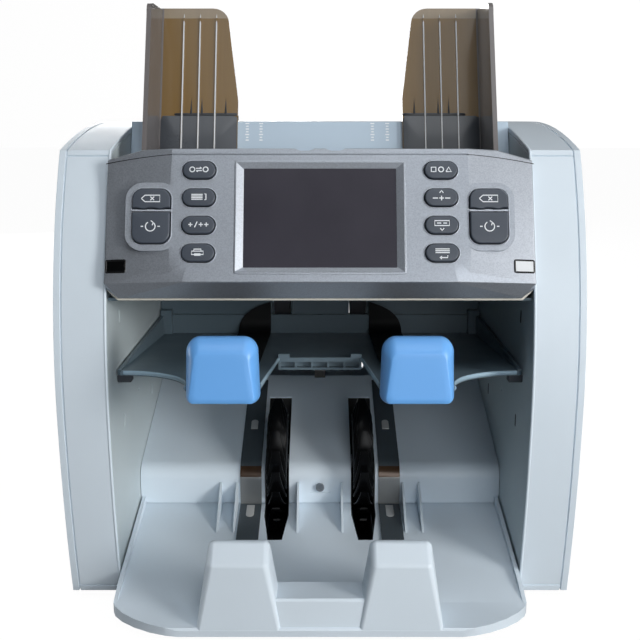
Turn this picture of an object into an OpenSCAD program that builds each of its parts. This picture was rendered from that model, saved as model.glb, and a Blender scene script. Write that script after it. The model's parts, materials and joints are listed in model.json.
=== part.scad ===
// Two-pocket banknote counter: notes go in at the sloping hopper on top, a reject tray and a
// stacker tray at the front take them out again. Millimetres, +Z up, the front faces -Y.
// The origin lies on the desk, under the middle of the machine's footprint.

/* [Housing] */
// Width over both side covers
body_w = 260; // [250:1:290]
// Depth of the side covers, from the bulge of their front to their back
body_d = 250; // [244:1:280]
// Height of the flat top above the desk
body_h = 245; // [240:1:265]
// Width of each side bay, from the inner wall to the outer face
bay_w = 25.5; // [24:0.5:32]
// Height of the front's bulge above the desk
bulge_z = 106; // [95:1:125]
// Radius of the front below the bulge
front_low_r = 620; // [500:10:900]
// Radius of the front above the bulge
front_high_r = 250; // [220:5:320]
// Radius of the top's fall towards the front
top_r = 393; // [330:5:500]
// Radius of the covers' rear top corner
rear_r = 18; // [8:1:24]
// Wall of the moulded covers
wall = 2.5; // [2:0.1:3]
// Width of the rim outside the covers' groove
rim_w = 3.3; // [2.8:0.1:5]
// Width and depth of the shallow grooves
groove = 0.7; // [0.4:0.1:1]
// Thickness of the steel side plates and the base
plate = 2; // [1.5:0.1:2.5]
// Height of the rubber feet
foot_h = 4; // [3:0.5:6]
// Radius of the rubber feet
foot_r = 9; // [6:0.5:12]
// Gap between fixed neighbours
fit = 0.3; // [0.2:0.05:0.5]
// Radial running clearance of shafts and pins
run = 0.05; // [0.02:0.01:0.1]

/* [Console] */
// Lean of the console from upright
console_tilt = 20.5; // [16:0.5:25]
// Depth of the console, square to its face
console_d = 12; // [11.5:0.5:14]
// Height of the face above its middle
face_up = 35.3; // [34:0.1:38]
// Height of the face below its middle
face_down = 31.2; // [30.5:0.1:34]
// How far the swept ends fall back at the covers
end_drop = 5; // [3:0.5:6]
// Width of the console's swept ends
end_w = 32.5; // [28:0.5:36]
// Rounding of the console's edges
console_edge = 1; // [0.6:0.1:1.6]
// Width of the screen
screen_w = 73.4; // [66:0.1:78]
// Height of the screen
screen_h = 48.6; // [42:0.1:50]
// Width of the bevelled frame round the screen
bezel_w = 4; // [3:0.1:4.5]
// Depth of the screen below the face
screen_sink = 1.8; // [1:0.1:2.4]
// Length of the round-ended keys
pill_w = 15.8; // [13:0.1:17]
// Height of the round-ended keys
pill_h = 8.6; // [7:0.1:10]
// Distance between neighbouring round-ended keys
pill_pitch = 13.6; // [12.5:0.1:14.4]
// Width of the paired keys
pair_w = 18.2; // [16:0.1:20]
// Height of the upper paired key
pair_up_h = 9.4; // [8:0.1:11]
// Height of the lower paired key
pair_low_h = 15.4; // [13:0.1:17]
// Gap between the paired keys
pair_gap = 2; // [1.5:0.1:3]
// Outer corner radius of the paired keys
pair_r = 5; // [3:0.1:7]
// How far the keys stand proud of the face
key_proud = 1.6; // [1.4:0.1:2.4]
// Travel of the keys
key_travel = 1.2; // [0.6:0.1:1.3]
// Gap round the keys
key_gap = 0.4; // [0.3:0.05:0.6]

/* [Hopper] */
// Lean of the hopper wall from upright
hopper_tilt = 21.4; // [16:0.2:25]
// Depth of the hopper wall's top edge behind the covers' front
hopper_back = 87; // [85:1:100]
// Distance between the note guides' inner faces
guide_gap = 176; // [120:1:180]
// Height of the note guides above the housing
guide_rise = 61; // [40:1:80]
// Width of a note guide's rear plate at the bottom
guide_w = 42.6; // [34:0.1:46]
// Depth of a note guide's side wall
guide_side = 39; // [28:0.5:41]
// Wall of the note guides
guide_t = 2.4; // [1.8:0.1:3]
// Radius of the rail that the note guides slide on
rail_r = 3; // [2:0.1:4]

/* [Pockets] */
// Depth of the stacker ramp's nose behind the covers' front
nose_run = 67; // [60:1:74]
// Height of the middle of the nose's bend
nose_z = 41.4; // [38:0.1:46]
// Radius of the nose's bend
nose_r = 10; // [7:0.5:12]
// Slope of the stacker ramp
ramp_slope = 20.2; // [16:0.2:24]
// How far the stacker tray reaches ahead of the covers
tray_reach = 36; // [32:1:44]
// Height of the stacker floor where it meets the ramp
floor_back_z = 27; // [25:0.5:30]
// Height of the stacker floor at its front crease
floor_front_z = 10; // [9:0.5:12]
// Height of the stacker tray's lips
lip_h = 48; // [40:1:54]
// Width of a stacker lip at its foot
lip_w = 41; // [34:0.5:44]
// Distance of the stacker lips' middles from the centre
lip_x = 39; // [36:0.5:44]
// Share of the covers' depth that lies ahead of the reject tray's back wall
reject_share = 0.608; // [0.57:0.002:0.62]
// Height of the reject floor at its back as a share of the body's height
reject_floor_share = 0.445; // [0.435:0.001:0.465]
// Rise of the reject floor towards the front
reject_slope = 5.1; // [3:0.1:6]
// Height of the reject tray's back and side walls
reject_wall_h = 12.6; // [9:0.1:15]
// How far the reject tongues reach ahead of the covers
tongue_reach = 20; // [16:0.5:24]
// Half width of the finger notch at its back
notch_half = 23; // [20:0.5:26]
// Width of a reject lip
blue_w = 34.5; // [30:0.5:38]
// Height of a reject lip
blue_h = 30.5; // [28:0.5:36]
// Distance of the reject lips' middles from the centre
blue_x = 45; // [44:0.5:48]
// Distance of the stacker strips' inner edges from the centre
strip_x = 34; // [33:0.5:36]
// Width of the stacker pocket's steel strips
strip_w = 12.3; // [9:0.1:13]
// Thickness of the steel strips
strip_t = 0.5; // [0.3:0.1:0.8]

/* [Drive] */
// Radius of the stacker wheels over their vanes
stack_r = 37.5; // [34:0.5:39]
// Number of vanes on a stacker wheel
vanes = 20; // [10:1:20]
// Width of a stacker wheel at its hub
stack_w = 11.6; // [9:0.2:13]
// Distance of the wheels' middles from the centre
wheel_x = 25; // [22:0.5:25.5]
// Radius of the reject wheels as a share of the reject pocket's height
reject_fill = 0.375; // [0.28:0.005:0.39]
// Radius of the drive shafts
shaft_r = 4; // [3:0.1:5]
// Radius of the feed rollers
feed_r = 12; // [9:0.5:12.5]
// Radius of the transport rollers
transport_r = 27; // [20:0.5:29]
// Radius of the pulleys on the feed, stacker and reject shafts
pulley_r = 11; // [8:0.5:12]
// Radius of the motor's pulley
motor_pulley_r = 7; // [6:0.5:9]
// Thickness of the belts
belt_t = 1.4; // [1:0.1:1.8]
// Thickness of the rear door
door_t = 2.5; // [2:0.1:3]

/* [Hidden] */
$fn = 48;

// Main planes
over = 1;
thin = 0.02;
half_w = body_w / 2;
hw = half_w - bay_w;
frame_out = hw + plate;
y_f = (tray_reach - body_d) / 2;
y_b = y_f + body_d;
tray_tip = y_f - tray_reach;
base_top = foot_h + plate;
top_in = 137;
base_in = 12;
base_front = y_f + base_in;
door_h = 94;
rear_top = body_h - door_h;

// Feet, side plates, grooves, vents and door
foot_in = 16;
foot_front = 32;
foot_rear = 24;
foot_recess_r = 3.5;
screw_r = 1.5;
screw_drop = 4.2;
ramp_tab = 9;
slot_places = [[34, 146], [113, 83], [35, 89]];
slot_long = 7;
slot_high = 2.4;
small_hole = [74, 94.5];
small_hole_r = 1;
tray_tab_w = 7;
tray_tab_d = 5;
tray_tab_h = 3.5;
tray_tab_in = 2;
tray_tab_gap = 0.5;
low_groove = 3;
high_groove = 17;
groove_run = 55;
vents = 9;
vent_h = 52;
vent_w = 3;
vent_pitch = 8.5;
vent_x = 15;
vent_drop = 66;
door_gap = 1;
pull_w = 46;
pull_h = 9;
pull_d = 1;
pull_lift = 12;
rail_slot_in = 4;

// Console frame and its layout
console_in = 8.5;
console_drop = 45.5;
console_y = y_f + console_in;
console_z = body_h - console_drop;
console_half = hw - fit;
fold_x = console_half - end_w;
end_tilt = atan(end_drop / end_w);
chin = 5.6;
chin_in = 5.5;
chin_side = 1.5;
fold_lift = 4;
fold_run = 6.2;
top_drop = 4;
top_bend = 14;
seam_drop = 3.6;
slit_x = 7.5;
slit_r = 9;
slit_d = 1.6;
slit_deep = 4;
pan_t = 1.6;
pan_edge = 0.8;
board_t = 1.4;
board_low = 4;
board_high = 6;
key_rest = 0.4;
key_back = console_d - board_t - key_travel - key_rest;
key_flange = 1.4;
key_lip = 1;
pill_top = 24;
pair_top = 14.6;
surround_m = 3.4;
bezel_wide = screen_w + 2 * bezel_w;
bezel_high = screen_h + 1.6 * bezel_w;
bezel_rim = 0.8;
bezel_y = 1;
bezel_proud = 0.4;
panel_t = 4;
surround_w = pair_w + 2 * surround_m;
key_room = console_half - bezel_wide / 2 - pill_w - surround_w;
room_in = 0.427;
room_mid = 0.102;
pill_x = bezel_wide / 2 + room_in * key_room + pill_w / 2;
pair_x = bezel_wide / 2 + (room_in + room_mid) * key_room + pill_w + surround_w / 2;
window_w = 9.6;
window_h = 5.8;
window_in = 0.7;
window_x = end_w - window_in - window_w / 2;
window_y = -22.4;
window_d = 2;
window_proud = 0.2;

// Hopper frame
hopper_drop = 46;
hopper_depth = 57;
hopper_floor_z = body_h - hopper_depth;
hopper_lap = 6;
feed_slot_w = 18;
feed_slot_gap = 1;
wall_top_y = y_f + hopper_back;
wall_deep = wall / cos(hopper_tilt);
guide_x = guide_gap / 2;
guide_back = 0.5;
guide_lift = 3;
guide_foot_z = hopper_floor_z + wall + guide_lift;
guide_top_z = body_h + guide_rise;
guide_taper = 5.6;
guide_knee = 12;
guide_round = 9;
rib_w = 0.8;
rib_h = 0.9;
rib_pitch = 9.1;
rib_in = 2.8;
rib_foot = 4;
rib_short = 10;
guide_nose = 6;
guide_clear = 2;
rail_back = 19;
rail_drop = 11;
rail_y = wall_top_y + rail_back;
rail_z = body_h - rail_drop;
slot_half = 3.2;
slide_gap = 0.5;
carriage_len = 36;
carriage_in = 2;
carriage_back = 8;
runner_wall = 2.2;
foot_plate = 3;
gussets = 4;
gusset_h = 12;
gusset_t = 1.6;
gusset_in = 3;
gusset_back = 6;

// Pocket lines
reject_z = reject_floor_share * body_h;
reject_back_y = y_f + reject_share * body_d;
nose_y = y_f + nose_run;
ramp_past = 1;
ramp_end_y = reject_back_y + ramp_past;
ramp_y0 = nose_y + nose_r * (1 - sin(ramp_slope));
ramp_z0 = nose_z + nose_r * cos(ramp_slope);
wheel_gap = 1.2;
wheel_slot = stack_w + 2 * wheel_gap;
slot_tip = 8;
slot_front = 15.5;
slot_rear = 6.5;
slot_taper = 22;
front_run = 22;
crease_y = tray_tip + front_run;
tray_lap = 1;
floor_rear_y = nose_y + tray_lap;
ramp_foot_z = stack_floor(floor_rear_y) + fit;
tray_half = hw - 1;
tray_corner = 35;
tray_curve = 1.5;
tray_edge_z = 4.3;
tray_wall_h = 4.5;
tray_wall_t = 2;
tray_wall_run = 12;
tip_drop = 1.5;
tip_round = 1;
sill_h = 22.5;
sill_in = 1;
sill_lean = 1.5;
sill_slope = 1.5;
lip_edge = 2;
lip_round = 3.6;
lip_taper = 5.3;
lip_front_h = 6;
lip_lean = 2;
lip_back = 9;
fin_t = 1.2;
fin_x = 12;
fin_gap = 9.3;
fin_run = 27;
fin_drop = 1;
screw_pad = 6;
screw_pad_d = 0.6;
screw_head_r = 2.4;
screw_head_t = 1.6;
screw_cross = 3;
screw_slot = 0.8;
reject_half = hw - 1;
reject_t = 2.4;
tongue_y = y_f - tongue_reach;
tongue_in = blue_x - blue_w / 2 + 0.6;
tongue_out = blue_x + blue_w / 2 + 0.8;
sweep_r = reject_half - tongue_out - 2;
notch_run = 58;
notch_y = y_f + notch_run;
corner_run = 21;
corner_y = y_f + corner_run;
side_wall_t = 2;
side_wall_low = 0.4;
corner_w = 7;
corner_d = 4;
corner_h = 16;
notch_tab_w = 6;
notch_tab_d = 3;
notch_tab_h = 2;
cell_d = 5;
sensor_w = 6;
sensor_h = 4.5;
sensor_proud = 0.5;
blue_edge = 2.5;
blue_drop = 6.2;
blue_deep = 7;
blue_taper = 2;
blue_face = [1.5, 6.5];
blue_fall = [1, 5];
blue_lean = 3;
cells = 5;
cell_h = 4.5;
cell_wall = 1.2;
back_plate_y = reject_back_y + reject_t + fit;
ceiling_t = 1.6;
ceiling_drop = 88;
ceiling_z = body_h - ceiling_drop;
ceiling_in = 3;
ceiling_fall = 2;
plate_drop = 9;
plate_slot_w = 13;
plate_slot_gap = 1;
band_x = 32;
band_w = 21;
band_bend = 8;
band_in = 6;
band_rise = 24.5;
band_curve = 2.4;
band_points = 9;
strip_short = 6;
strip_run = 34;

// Shaft centres as [y, z], and the drive in the side bays
stack_in = 20;
stack_gap = 2;
reject_r = reject_fill * (ceiling_z - reject_z);
reject_proud = 5;
reject_up = 1;
feed_in = 45;
feed_proud = 0.6;
transport_back = 34.3;
transport_up = 19;
motor_in = 60;
motor_up = 44;
door_in = 6.8;
door_drop = 2;
gate_in = 38;
gate_up = 2;
stack_c = [nose_y + stack_in, base_top + stack_r + stack_gap];
reject_c = [
    back_plate_y + plate + reject_r - reject_proud,
    (reject_z + ceiling_z) / 2 + reject_up
];
feed_c = [y_f + feed_in, hopper_floor_z + wall + feed_proud - feed_r];
transport_c = reject_c + [transport_back, transport_up];
motor_c = [y_b - motor_in, foot_h + motor_up];
door_c = [y_b - door_in, body_h - rear_r - door_drop];
gate_c = [back_plate_y + gate_in, reject_z + gate_up];
pin_r = 2;
knuckle_r = 2.6;
belt_w = 6;
belt_gap = 0.3;
belt_in = 0.5;
layer_gap = 1.5;
layer_1 = frame_out + layer_gap;
layer_2 = layer_1 + belt_w + layer_gap;
shaft_end = layer_2 + belt_w + belt_in;
transport_pulley_r = 16;
feed_pulley_r = pulley_r - 2;
reject_pulley_r = pulley_r - 3;
transport_x = 62;
transport_w = 24;
feed_w = 14;
reject_w = 10;
gate_long = 24;
gate_t = 1.6;
gate_edge = 2;
gate_turn = 205;
gate_r = 3;
hub_r = 16;
vane_t = 2.4;
vane_w = stack_w - 0.8;
vane_sweep = 70;
motor_r = 17;
motor_len = 52;
motor_axle = 2.5;
motor_nose_r = 6;
motor_nose = 4;
bar_back = 26;
bar_d = 20;
bar_h = 16;
bar_low = 10;
bar_high = 11;
board_x = 8;
board_side = 6;
board_in = 14;
board_long = 66;
board_up = 8;
board_thick = 1.6;
post_in = 4;
post_r = 3;
chip_x = 12;
chip_y = 20;
chip = 16;
chip_h = 3;
supply_gap = 8;
supply_in = 16;
supply_long = 60;
supply_h = 34;

// Rear sockets
inlet_x = -62;
inlet_z = 34;
inlet_w = 27;
inlet_h = 19.6;
inlet_d = 22;
socket_wall = 2;
socket_floor = 4;
blade = [2, 4];
blade_places = [[-7, -2], [0, 2], [7, -2]];
blade_in = 8;
switch_x = -28;
switch_w = 13;
switch_h = 19;
switch_d = 14;
switch_well = 9;
switch_rim = 0.7;
rocker_half = 5;
rocker_pin = 1.2;
rocker_in = 3.2;
rocker_gap = 1.7;
rocker_deep = 3.5;
rocker_cut = 0.8;
rocker_out = 2.6;
rocker_mid = 1.5;
rocker_low = 0.2;
rocker_c = [y_b - rocker_in, inlet_z];

// Points on a circle about c from angle a0 to a1
function arc(c, r, a0, a1, n = 12) =
    [for (i = [0:n]) c + r * [cos(a0 + (a1 - a0) * i / n), sin(a0 + (a1 - a0) * i / n)]];

// Point at angle a on a bow rx wide and rz high; a curve of 2 is an ellipse, more is squarer
function bowed(rx, rz, curve, a) = [rx * pow(cos(a), 2 / curve), rz * pow(sin(a), 2 / curve)];

function backwards(list) = [for (i = [len(list) - 1:-1:0]) list[i]];

// Front crossing of two circles about p and q
function crossing(p, rp, q, rq) =
    let (gap = norm(q - p), e = (q - p) / gap)
    let (a = (rp * rp - rq * rq + gap * gap) / (2 * gap), h = sqrt(rp * rp - a * a))
    p + a * e - h * [-e[1], e[0]];

// Side outline of the housing in the Y-Z plane, drawn d inside its face
function side_profile(d) =
    let (low_c = [y_f + front_low_r, bulge_z], high_c = [y_f + front_high_r, bulge_z])
    let (top_c = [y_f + top_in, body_h - top_r])
    let (low_a = asin((bulge_z - foot_h - d) / (front_low_r - d)))
    let (cross = crossing(high_c, front_high_r - d, top_c, top_r - d))
    let (high_a = atan2(cross[1] - high_c[1], cross[0] - high_c[0]))
    let (top_a = atan2(cross[1] - top_c[1], cross[0] - top_c[0]))
    concat(
        arc(low_c, front_low_r - d, 180 + low_a, 180),
        arc(high_c, front_high_r - d, 180, high_a, 16),
        arc(top_c, top_r - d, top_a, 90),
        arc([y_b - rear_r, body_h - rear_r], rear_r - d, 90, 0, 8),
        [[y_b - d, foot_h + d]]
    );

// Y of the hopper plane moved d to its front, and of the console pan's back, at height z
function guide_y(z, d) = wall_top_y + (z - body_h) * tan(hopper_tilt) - d / cos(hopper_tilt);
function pan_y(z) =
    console_y + (z - console_z) * tan(console_tilt) + (console_d + pan_t) / cos(console_tilt);

// Heights of the reject floor, the stacker floor and the ramp at y
function reject_floor(y) = reject_z + (reject_back_y - y) * tan(reject_slope);
function stack_floor(y) =
    floor_back_z + (y - nose_y) * (floor_back_z - floor_front_z) / (nose_y - crease_y);
function ramp_z(y) = ramp_z0 + (y - ramp_y0) * tan(ramp_slope);

// Ramp outline raised by d, from y over the nose to height z
function ramp_line(d, y, z) =
    concat(
        [[y, ramp_z(y) + d / cos(ramp_slope)]],
        arc([nose_y + nose_r, nose_z], nose_r + d, 90 + ramp_slope, 180, 8),
        [[nose_y - d, z]]
    );

// Outline round two pulleys, g outside them
function loop(c0, r0, c1, r1, g) =
    let (v = c1 - c0, phi = atan2(v[1], v[0]), alpha = acos((r0 - r1) / norm(v)))
    concat(
        arc(c0, r0 + g, phi + alpha, phi + 360 - alpha),
        arc(c1, r1 + g, phi - alpha, phi + alpha)
    );

// A Y-Z outline drawn from x0 to x1
module along_x(x0, x1) {
    translate([x0, 0, 0]) rotate([90, 0, 90]) linear_extrude(x1 - x0) children();
}

// A round bar along X from x0 to x1 at c = [y, z]
module bar(c, r, x0, x1) {
    translate([x0, c[0], c[1]]) rotate([0, 90, 0]) cylinder(h = x1 - x0, r = r);
}

module block(x0, x1, y0, y1, z0, z1) {
    translate([x0, y0, z0]) cube([x1 - x0, y1 - y0, z1 - z0]);
}

module both_sides() {
    children();
    mirror([1, 0, 0]) children();
}

// Console frame: x to the right, y up the face, z out of it
module on_console() {
    translate([0, console_y, console_z]) rotate([90 - console_tilt, 0, 0]) children();
}

// Right swept end of the console: x runs outwards from the fold
module on_end() {
    translate([fold_x, 0, 0]) rotate([0, end_tilt, 0]) children();
}

// Bar with round ends, w long and h high
module pill(w, h) {
    square([w - h, h], center = true);
    for (s = [-1, 1]) translate([s * (w - h) / 2, 0]) circle(h / 2);
}

// Rectangle with its two upper corners rounded
module arch(w, h, r) {
    translate([-w / 2, -h / 2]) square([w, h - r]);
    translate([r - w / 2, -h / 2]) square([w - 2 * r, h]);
    for (s = [-1, 1]) translate([s * (w / 2 - r), h / 2 - r]) circle(r);
}

module rounded(w, h, r) {
    square([w - 2 * r, h], center = true);
    square([w, h - 2 * r], center = true);
    for (sx = [-1, 1], sy = [-1, 1]) translate([sx * (w / 2 - r), sy * (h / 2 - r)]) circle(r);
}

// Housing
module foot_places() {
    for (x = [foot_in - hw, hw - foot_in], y = [y_f + foot_front, y_b - foot_rear]) {
        translate([x, y, 0]) children();
    }
}

module base_plate() {
    tab_y = nose_y + wall + fit;
    color("silver")
    difference() {
        union() {
            block(-hw, hw, base_front, y_b - wall - fit, foot_h, base_top);
            block(-ramp_tab, ramp_tab, tab_y, tab_y + plate, foot_h, nose_z);
        }
        foot_places() translate([0, 0, foot_h - over]) cylinder(h = plate + 2 * over, r = screw_r);
        translate([0, tab_y - over, nose_z - screw_drop]) rotate([-90, 0, 0])
            cylinder(h = plate + 2 * over, r = screw_r + run);
    }
}

module rubber_feet() {
    color("dimgray")
    foot_places() difference() {
        cylinder(h = foot_h, r = foot_r);
        translate([0, 0, -over]) cylinder(h = foot_h / 2 + over, r = foot_recess_r);
    }
}

// Bearings, upright slots and a small hole through a side plate
module frame_holes() {
    x0 = hw - over;
    x1 = frame_out + over;
    for (c = [stack_c, reject_c, feed_c, transport_c]) bar(c, shaft_r + run, x0, x1);
    bar([rail_y, rail_z], rail_r + run, x0, x1);
    for (c = [door_c, gate_c]) bar(c, pin_r + run, x0, x1);
    for (p = slot_places) {
        along_x(x0, x1) translate([y_f + p[0], p[1]]) rotate(90) pill(slot_long, slot_high);
    }
    bar([y_f, 0] + small_hole, small_hole_r, x0, x1);
}

// Right side plate with the tab that carries the reject tray's front corner
module side_frame() {
    tab_y = corner_y + tray_tab_in;
    tab_z = reject_floor(tab_y) - reject_t - fit - tray_tab_gap;
    difference() {
        along_x(hw, frame_out) polygon(side_profile(wall + fit));
        frame_holes();
    }
    block(hw - tray_tab_w, hw, tab_y, tab_y + tray_tab_d, tab_z - tray_tab_h, tab_z);
}

module side_frame_right() {
    color("lightsteelblue") side_frame();
}

module side_frame_left() {
    color("lightsteelblue")
    mirror([1, 0, 0]) difference() {
        side_frame();
        bar(motor_c, 2 * motor_axle, hw - over, frame_out + over);
    }
}

// Strip of the housing's outline, groove deep
module skin() {
    difference() {
        polygon(side_profile(-over));
        polygon(side_profile(groove));
    }
}

module side_cover() {
    rim_x = half_w - rim_w;
    color("whitesmoke")
    difference() {
        along_x(hw, half_w) polygon(side_profile(0));
        along_x(hw - over, half_w - wall) polygon(side_profile(wall));
        along_x(rim_x - groove, rim_x) skin();
        for (z = [foot_h + low_groove, body_h - high_groove]) {
            along_x(hw - over, rim_x) intersection() {
                skin();
                translate([y_f - over, z]) square([groove_run + over, groove]);
            }
        }
    }
}

module side_cover_right() {
    side_cover();
}

module side_cover_left() {
    mirror([1, 0, 0]) side_cover();
}

module rear_cover() {
    color("whitesmoke")
    difference() {
        block(-hw + fit, hw - fit, y_b - wall, y_b, foot_h, rear_top);
        for (i = [0:vents - 1]) {
            translate([vent_x + vent_pitch * i, y_b - wall / 2, rear_top - vent_drop]) rotate([90, 0, 0])
                linear_extrude(2 * wall, center = true) rotate(90) pill(vent_h, vent_w);
        }
        translate([inlet_x, y_b, inlet_z]) cube([inlet_w + fit, 4 * wall, inlet_h + fit], center = true);
        translate([switch_x, y_b, inlet_z]) cube([switch_w + fit, 4 * wall, switch_h + fit], center = true);
    }
}

module rear_door() {
    door_y = door_c[0] + door_t / 2;
    half = hw - door_gap;
    color("whitesmoke") {
        difference() {
            block(-half, half, door_y - door_t, door_y, rear_top + fit, door_c[1]);
            translate([0, door_y, rear_top + pull_lift]) rotate([90, 0, 0])
                linear_extrude(2 * pull_d, center = true) pill(pull_w, pull_h);
        }
        bar(door_c, knuckle_r, -half, half);
        bar(door_c, pin_r, -frame_out, frame_out);
    }
}

module top_cover() {
    y0 = guide_y(body_h, 0) + wall_deep + fit;
    corner = [y_b - rear_r, body_h - rear_r];
    slot_x = hw - rail_slot_in;
    color("whitesmoke")
    difference() {
        along_x(-hw + fit, hw - fit) polygon(concat(
            [[y0, body_h - wall], [y0, body_h]],
            arc(corner, rear_r, 90, 10, 8),
            arc(corner, rear_r - wall, 10, 90, 8)
        ));
        block(-slot_x, slot_x, rail_y - slot_half, rail_y + slot_half, body_h - 2 * wall, body_h + over);
    }
}

// Hopper
module hopper_wall() {
    low = body_h - hopper_drop;
    color("lightsteelblue")
    along_x(-hw + fit, hw - fit) polygon([
        [guide_y(body_h, 0), body_h],
        [guide_y(low, 0), low],
        [guide_y(low, 0) + wall_deep, low],
        [guide_y(body_h, 0) + wall_deep, body_h]
    ]);
}

module hopper_floor() {
    top = hopper_floor_z + wall;
    slot = 2 * (feed_r + feed_slot_gap);
    color("dimgray")
    difference() {
        block(-hw + fit, hw - fit, pan_y(top) + fit, guide_y(top, 0) + hopper_lap, hopper_floor_z, top);
        for (s = [-1, 1]) {
            translate([s * wheel_x, feed_c[0], top]) cube([feed_slot_w, slot, 4 * wall], center = true);
        }
    }
}

module guide_rail() {
    color("silver") bar([rail_y, rail_z], rail_r, -frame_out, frame_out);
}

// Right note guide: leaning rear plate with three ribs, and a side wall ahead of it
module hopper_guide() {
    front = guide_back + guide_t;
    base = (guide_foot_z - body_h) / cos(hopper_tilt);
    rise = (guide_top_z - guide_foot_z) / cos(hopper_tilt);
    inner = guide_x - guide_w;
    side = min(guide_side, guide_y(guide_foot_z, front) - pan_y(guide_foot_z) - guide_clear);
    tip_y = guide_y(guide_top_z, front) - side;
    color([0.45, 0.38, 0.28]) {
        translate([0, wall_top_y, body_h]) rotate([90 - hopper_tilt, 0, 0]) {
            translate([0, 0, guide_back]) linear_extrude(guide_t) polygon(concat(
                [[inner, base], [guide_x + guide_t, base], [guide_x + guide_t, base + rise]],
                arc([inner + guide_taper + guide_round, base + rise - guide_round], guide_round, 90, 174, 6),
                [[inner, guide_knee]]
            ));
            for (i = [1:3]) {
                translate([guide_x - rib_in - rib_pitch * i - rib_w / 2, base + rib_foot, front - rib_h])
                    cube([rib_w, rise - rib_short, 2 * rib_h]);
            }
        }
        along_x(guide_x, guide_x + guide_t) polygon(concat(
            [[guide_y(guide_foot_z, front) - side, guide_foot_z]],
            arc([tip_y + guide_nose, guide_top_z - guide_nose], guide_nose, 180, 90, 4),
            [
                [guide_y(guide_top_z, guide_back), guide_top_z],
                [guide_y(guide_foot_z, guide_back), guide_foot_z]
            ]
        ));
    }
}

module hopper_guide_right() {
    hopper_guide();
}

module hopper_guide_left() {
    mirror([1, 0, 0]) hopper_guide();
}

// Right carriage: foot over the top cover, gussets to the guide, runner on the rail
module guide_carriage() {
    x0 = guide_x - guide_w + carriage_in;
    x1 = x0 + carriage_len;
    foot_z = body_h + slide_gap;
    foot_top = foot_z + foot_plate;
    neck = slot_half - slide_gap;
    runner = rail_r + runner_wall;
    step = (carriage_len - 2 * gusset_in - gusset_t) / (gussets - 1);
    color("dimgray")
    difference() {
        union() {
            along_x(x0, x1) polygon([
                [guide_y(foot_z, guide_back), foot_z],
                [rail_y + carriage_back, foot_z],
                [rail_y + carriage_back, foot_top],
                [guide_y(foot_top, guide_back), foot_top]
            ]);
            for (i = [0:gussets - 1]) {
                x = x0 + gusset_in + i * step;
                along_x(x, x + gusset_t) polygon([
                    [guide_y(foot_z + over, guide_back), foot_z + over],
                    [rail_y + gusset_back, foot_z + over],
                    [guide_y(foot_z + gusset_h, guide_back), foot_z + gusset_h]
                ]);
            }
            block(x0, x1, rail_y - neck, rail_y + neck, rail_z, foot_z + over);
            block(x0, x1, rail_y - runner, rail_y + runner, rail_z - runner, rail_z + runner);
        }
        bar([rail_y, rail_z], rail_r + run, x0 - over, x1 + over);
    }
}

module guide_carriage_right() {
    guide_carriage();
}

module guide_carriage_left() {
    mirror([1, 0, 0]) guide_carriage();
}

// Console: corner points of its body, inset by d, down to the depth back
function console_points(d, back) = [
    for (s = [-1, 1]) each [
        [s * fold_x, face_up - d, -d],
        [s * fold_x, fold_lift - face_down + d, -d],
        [s * (fold_x - fold_run), d - face_down, -d],
        [s * (fold_x + top_bend), face_up - d, -d - end_drop * top_bend / end_w],
        [s * (console_half - d), face_up - top_drop - d, -d - end_drop],
        [s * (console_half - d), d - face_down, -d - end_drop],
        [s * (fold_x + top_bend), face_up - d, -back],
        [s * (console_half - d), face_up - top_drop - d, -back],
        [s * (console_half - d), d - face_down - chin_side, -back],
        [s * (console_half - chin_in - d), d - face_down - chin, -back]
    ]
];

module console_body() {
    e = console_edge;
    hull() {
        for (p = console_points(e, console_d - e)) translate(p) sphere(e, $fn = 24);
    }
}

module console_hollow() {
    hull() {
        for (p = console_points(wall, console_d + over)) translate(p) cube(thin, center = true);
    }
}

module at_pill(s, i) {
    translate([s * pill_x, pill_top - i * pill_pitch, 0]) children();
}

// Outline of the upper or lower paired key, grown by g
module pair_outline(upper, g) {
    h = upper ? pair_up_h : pair_low_h;
    y = upper ? pair_top - pair_up_h / 2 : pair_top - pair_up_h - pair_gap - pair_low_h / 2;
    translate([0, y]) rotate(upper ? 0 : 180) arch(pair_w + 2 * g, h + 2 * g, pair_r + g);
}

module pair_surround() {
    h = pair_up_h + pair_gap + pair_low_h + 2 * surround_m;
    translate([pair_x, pair_top + surround_m - h / 2])
        rounded(surround_w, h, pair_r + surround_m);
}

// Half of the cuts through the console's face
module face_cuts() {
    through = 2 * console_d;
    for (i = [0:3]) {
        at_pill(1, i) linear_extrude(through, center = true)
            pill(pill_w + 2 * key_gap, pill_h + 2 * key_gap);
    }
    for (upper = [true, false]) {
        translate([pair_x, 0, 0]) linear_extrude(through, center = true) pair_outline(upper, key_gap);
    }
    translate([slit_x, face_up + slit_r - slit_d, -slit_deep]) cylinder(h = 2 * slit_deep, r = slit_r);
    on_end() translate([window_x, window_y, 0])
        cube([window_w + 2 * fit, window_h + 2 * fit, 4 * window_d], center = true);
}

module console_shell() {
    color("silver")
    on_console() difference() {
        union() {
            difference() {
                console_body();
                console_hollow();
            }
            both_sides() translate([0, 0, -end_drop - wall]) linear_extrude(end_drop + wall) pair_surround();
        }
        both_sides() face_cuts();
        translate([0, bezel_y, 0])
            cube([bezel_wide + 2 * fit, bezel_high + 2 * fit, 2 * console_d], center = true);
        translate([-fold_x, face_up - seam_drop, -groove]) cube([2 * fold_x, groove, 2 * groove]);
    }
}

module console_pan() {
    x = console_half;
    low = -face_down - chin - pan_edge;
    outline = [
        [fold_x + top_bend, face_up - fit], [x, face_up - top_drop - fit], [x, -face_down - chin_side],
        [x - chin_in, low]
    ];
    left = [for (p = backwards(outline)) [-p[0], p[1]]];
    color("gainsboro")
    on_console() translate([0, 0, -console_d - pan_t]) linear_extrude(pan_t) polygon(concat(outline, left));
}

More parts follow.
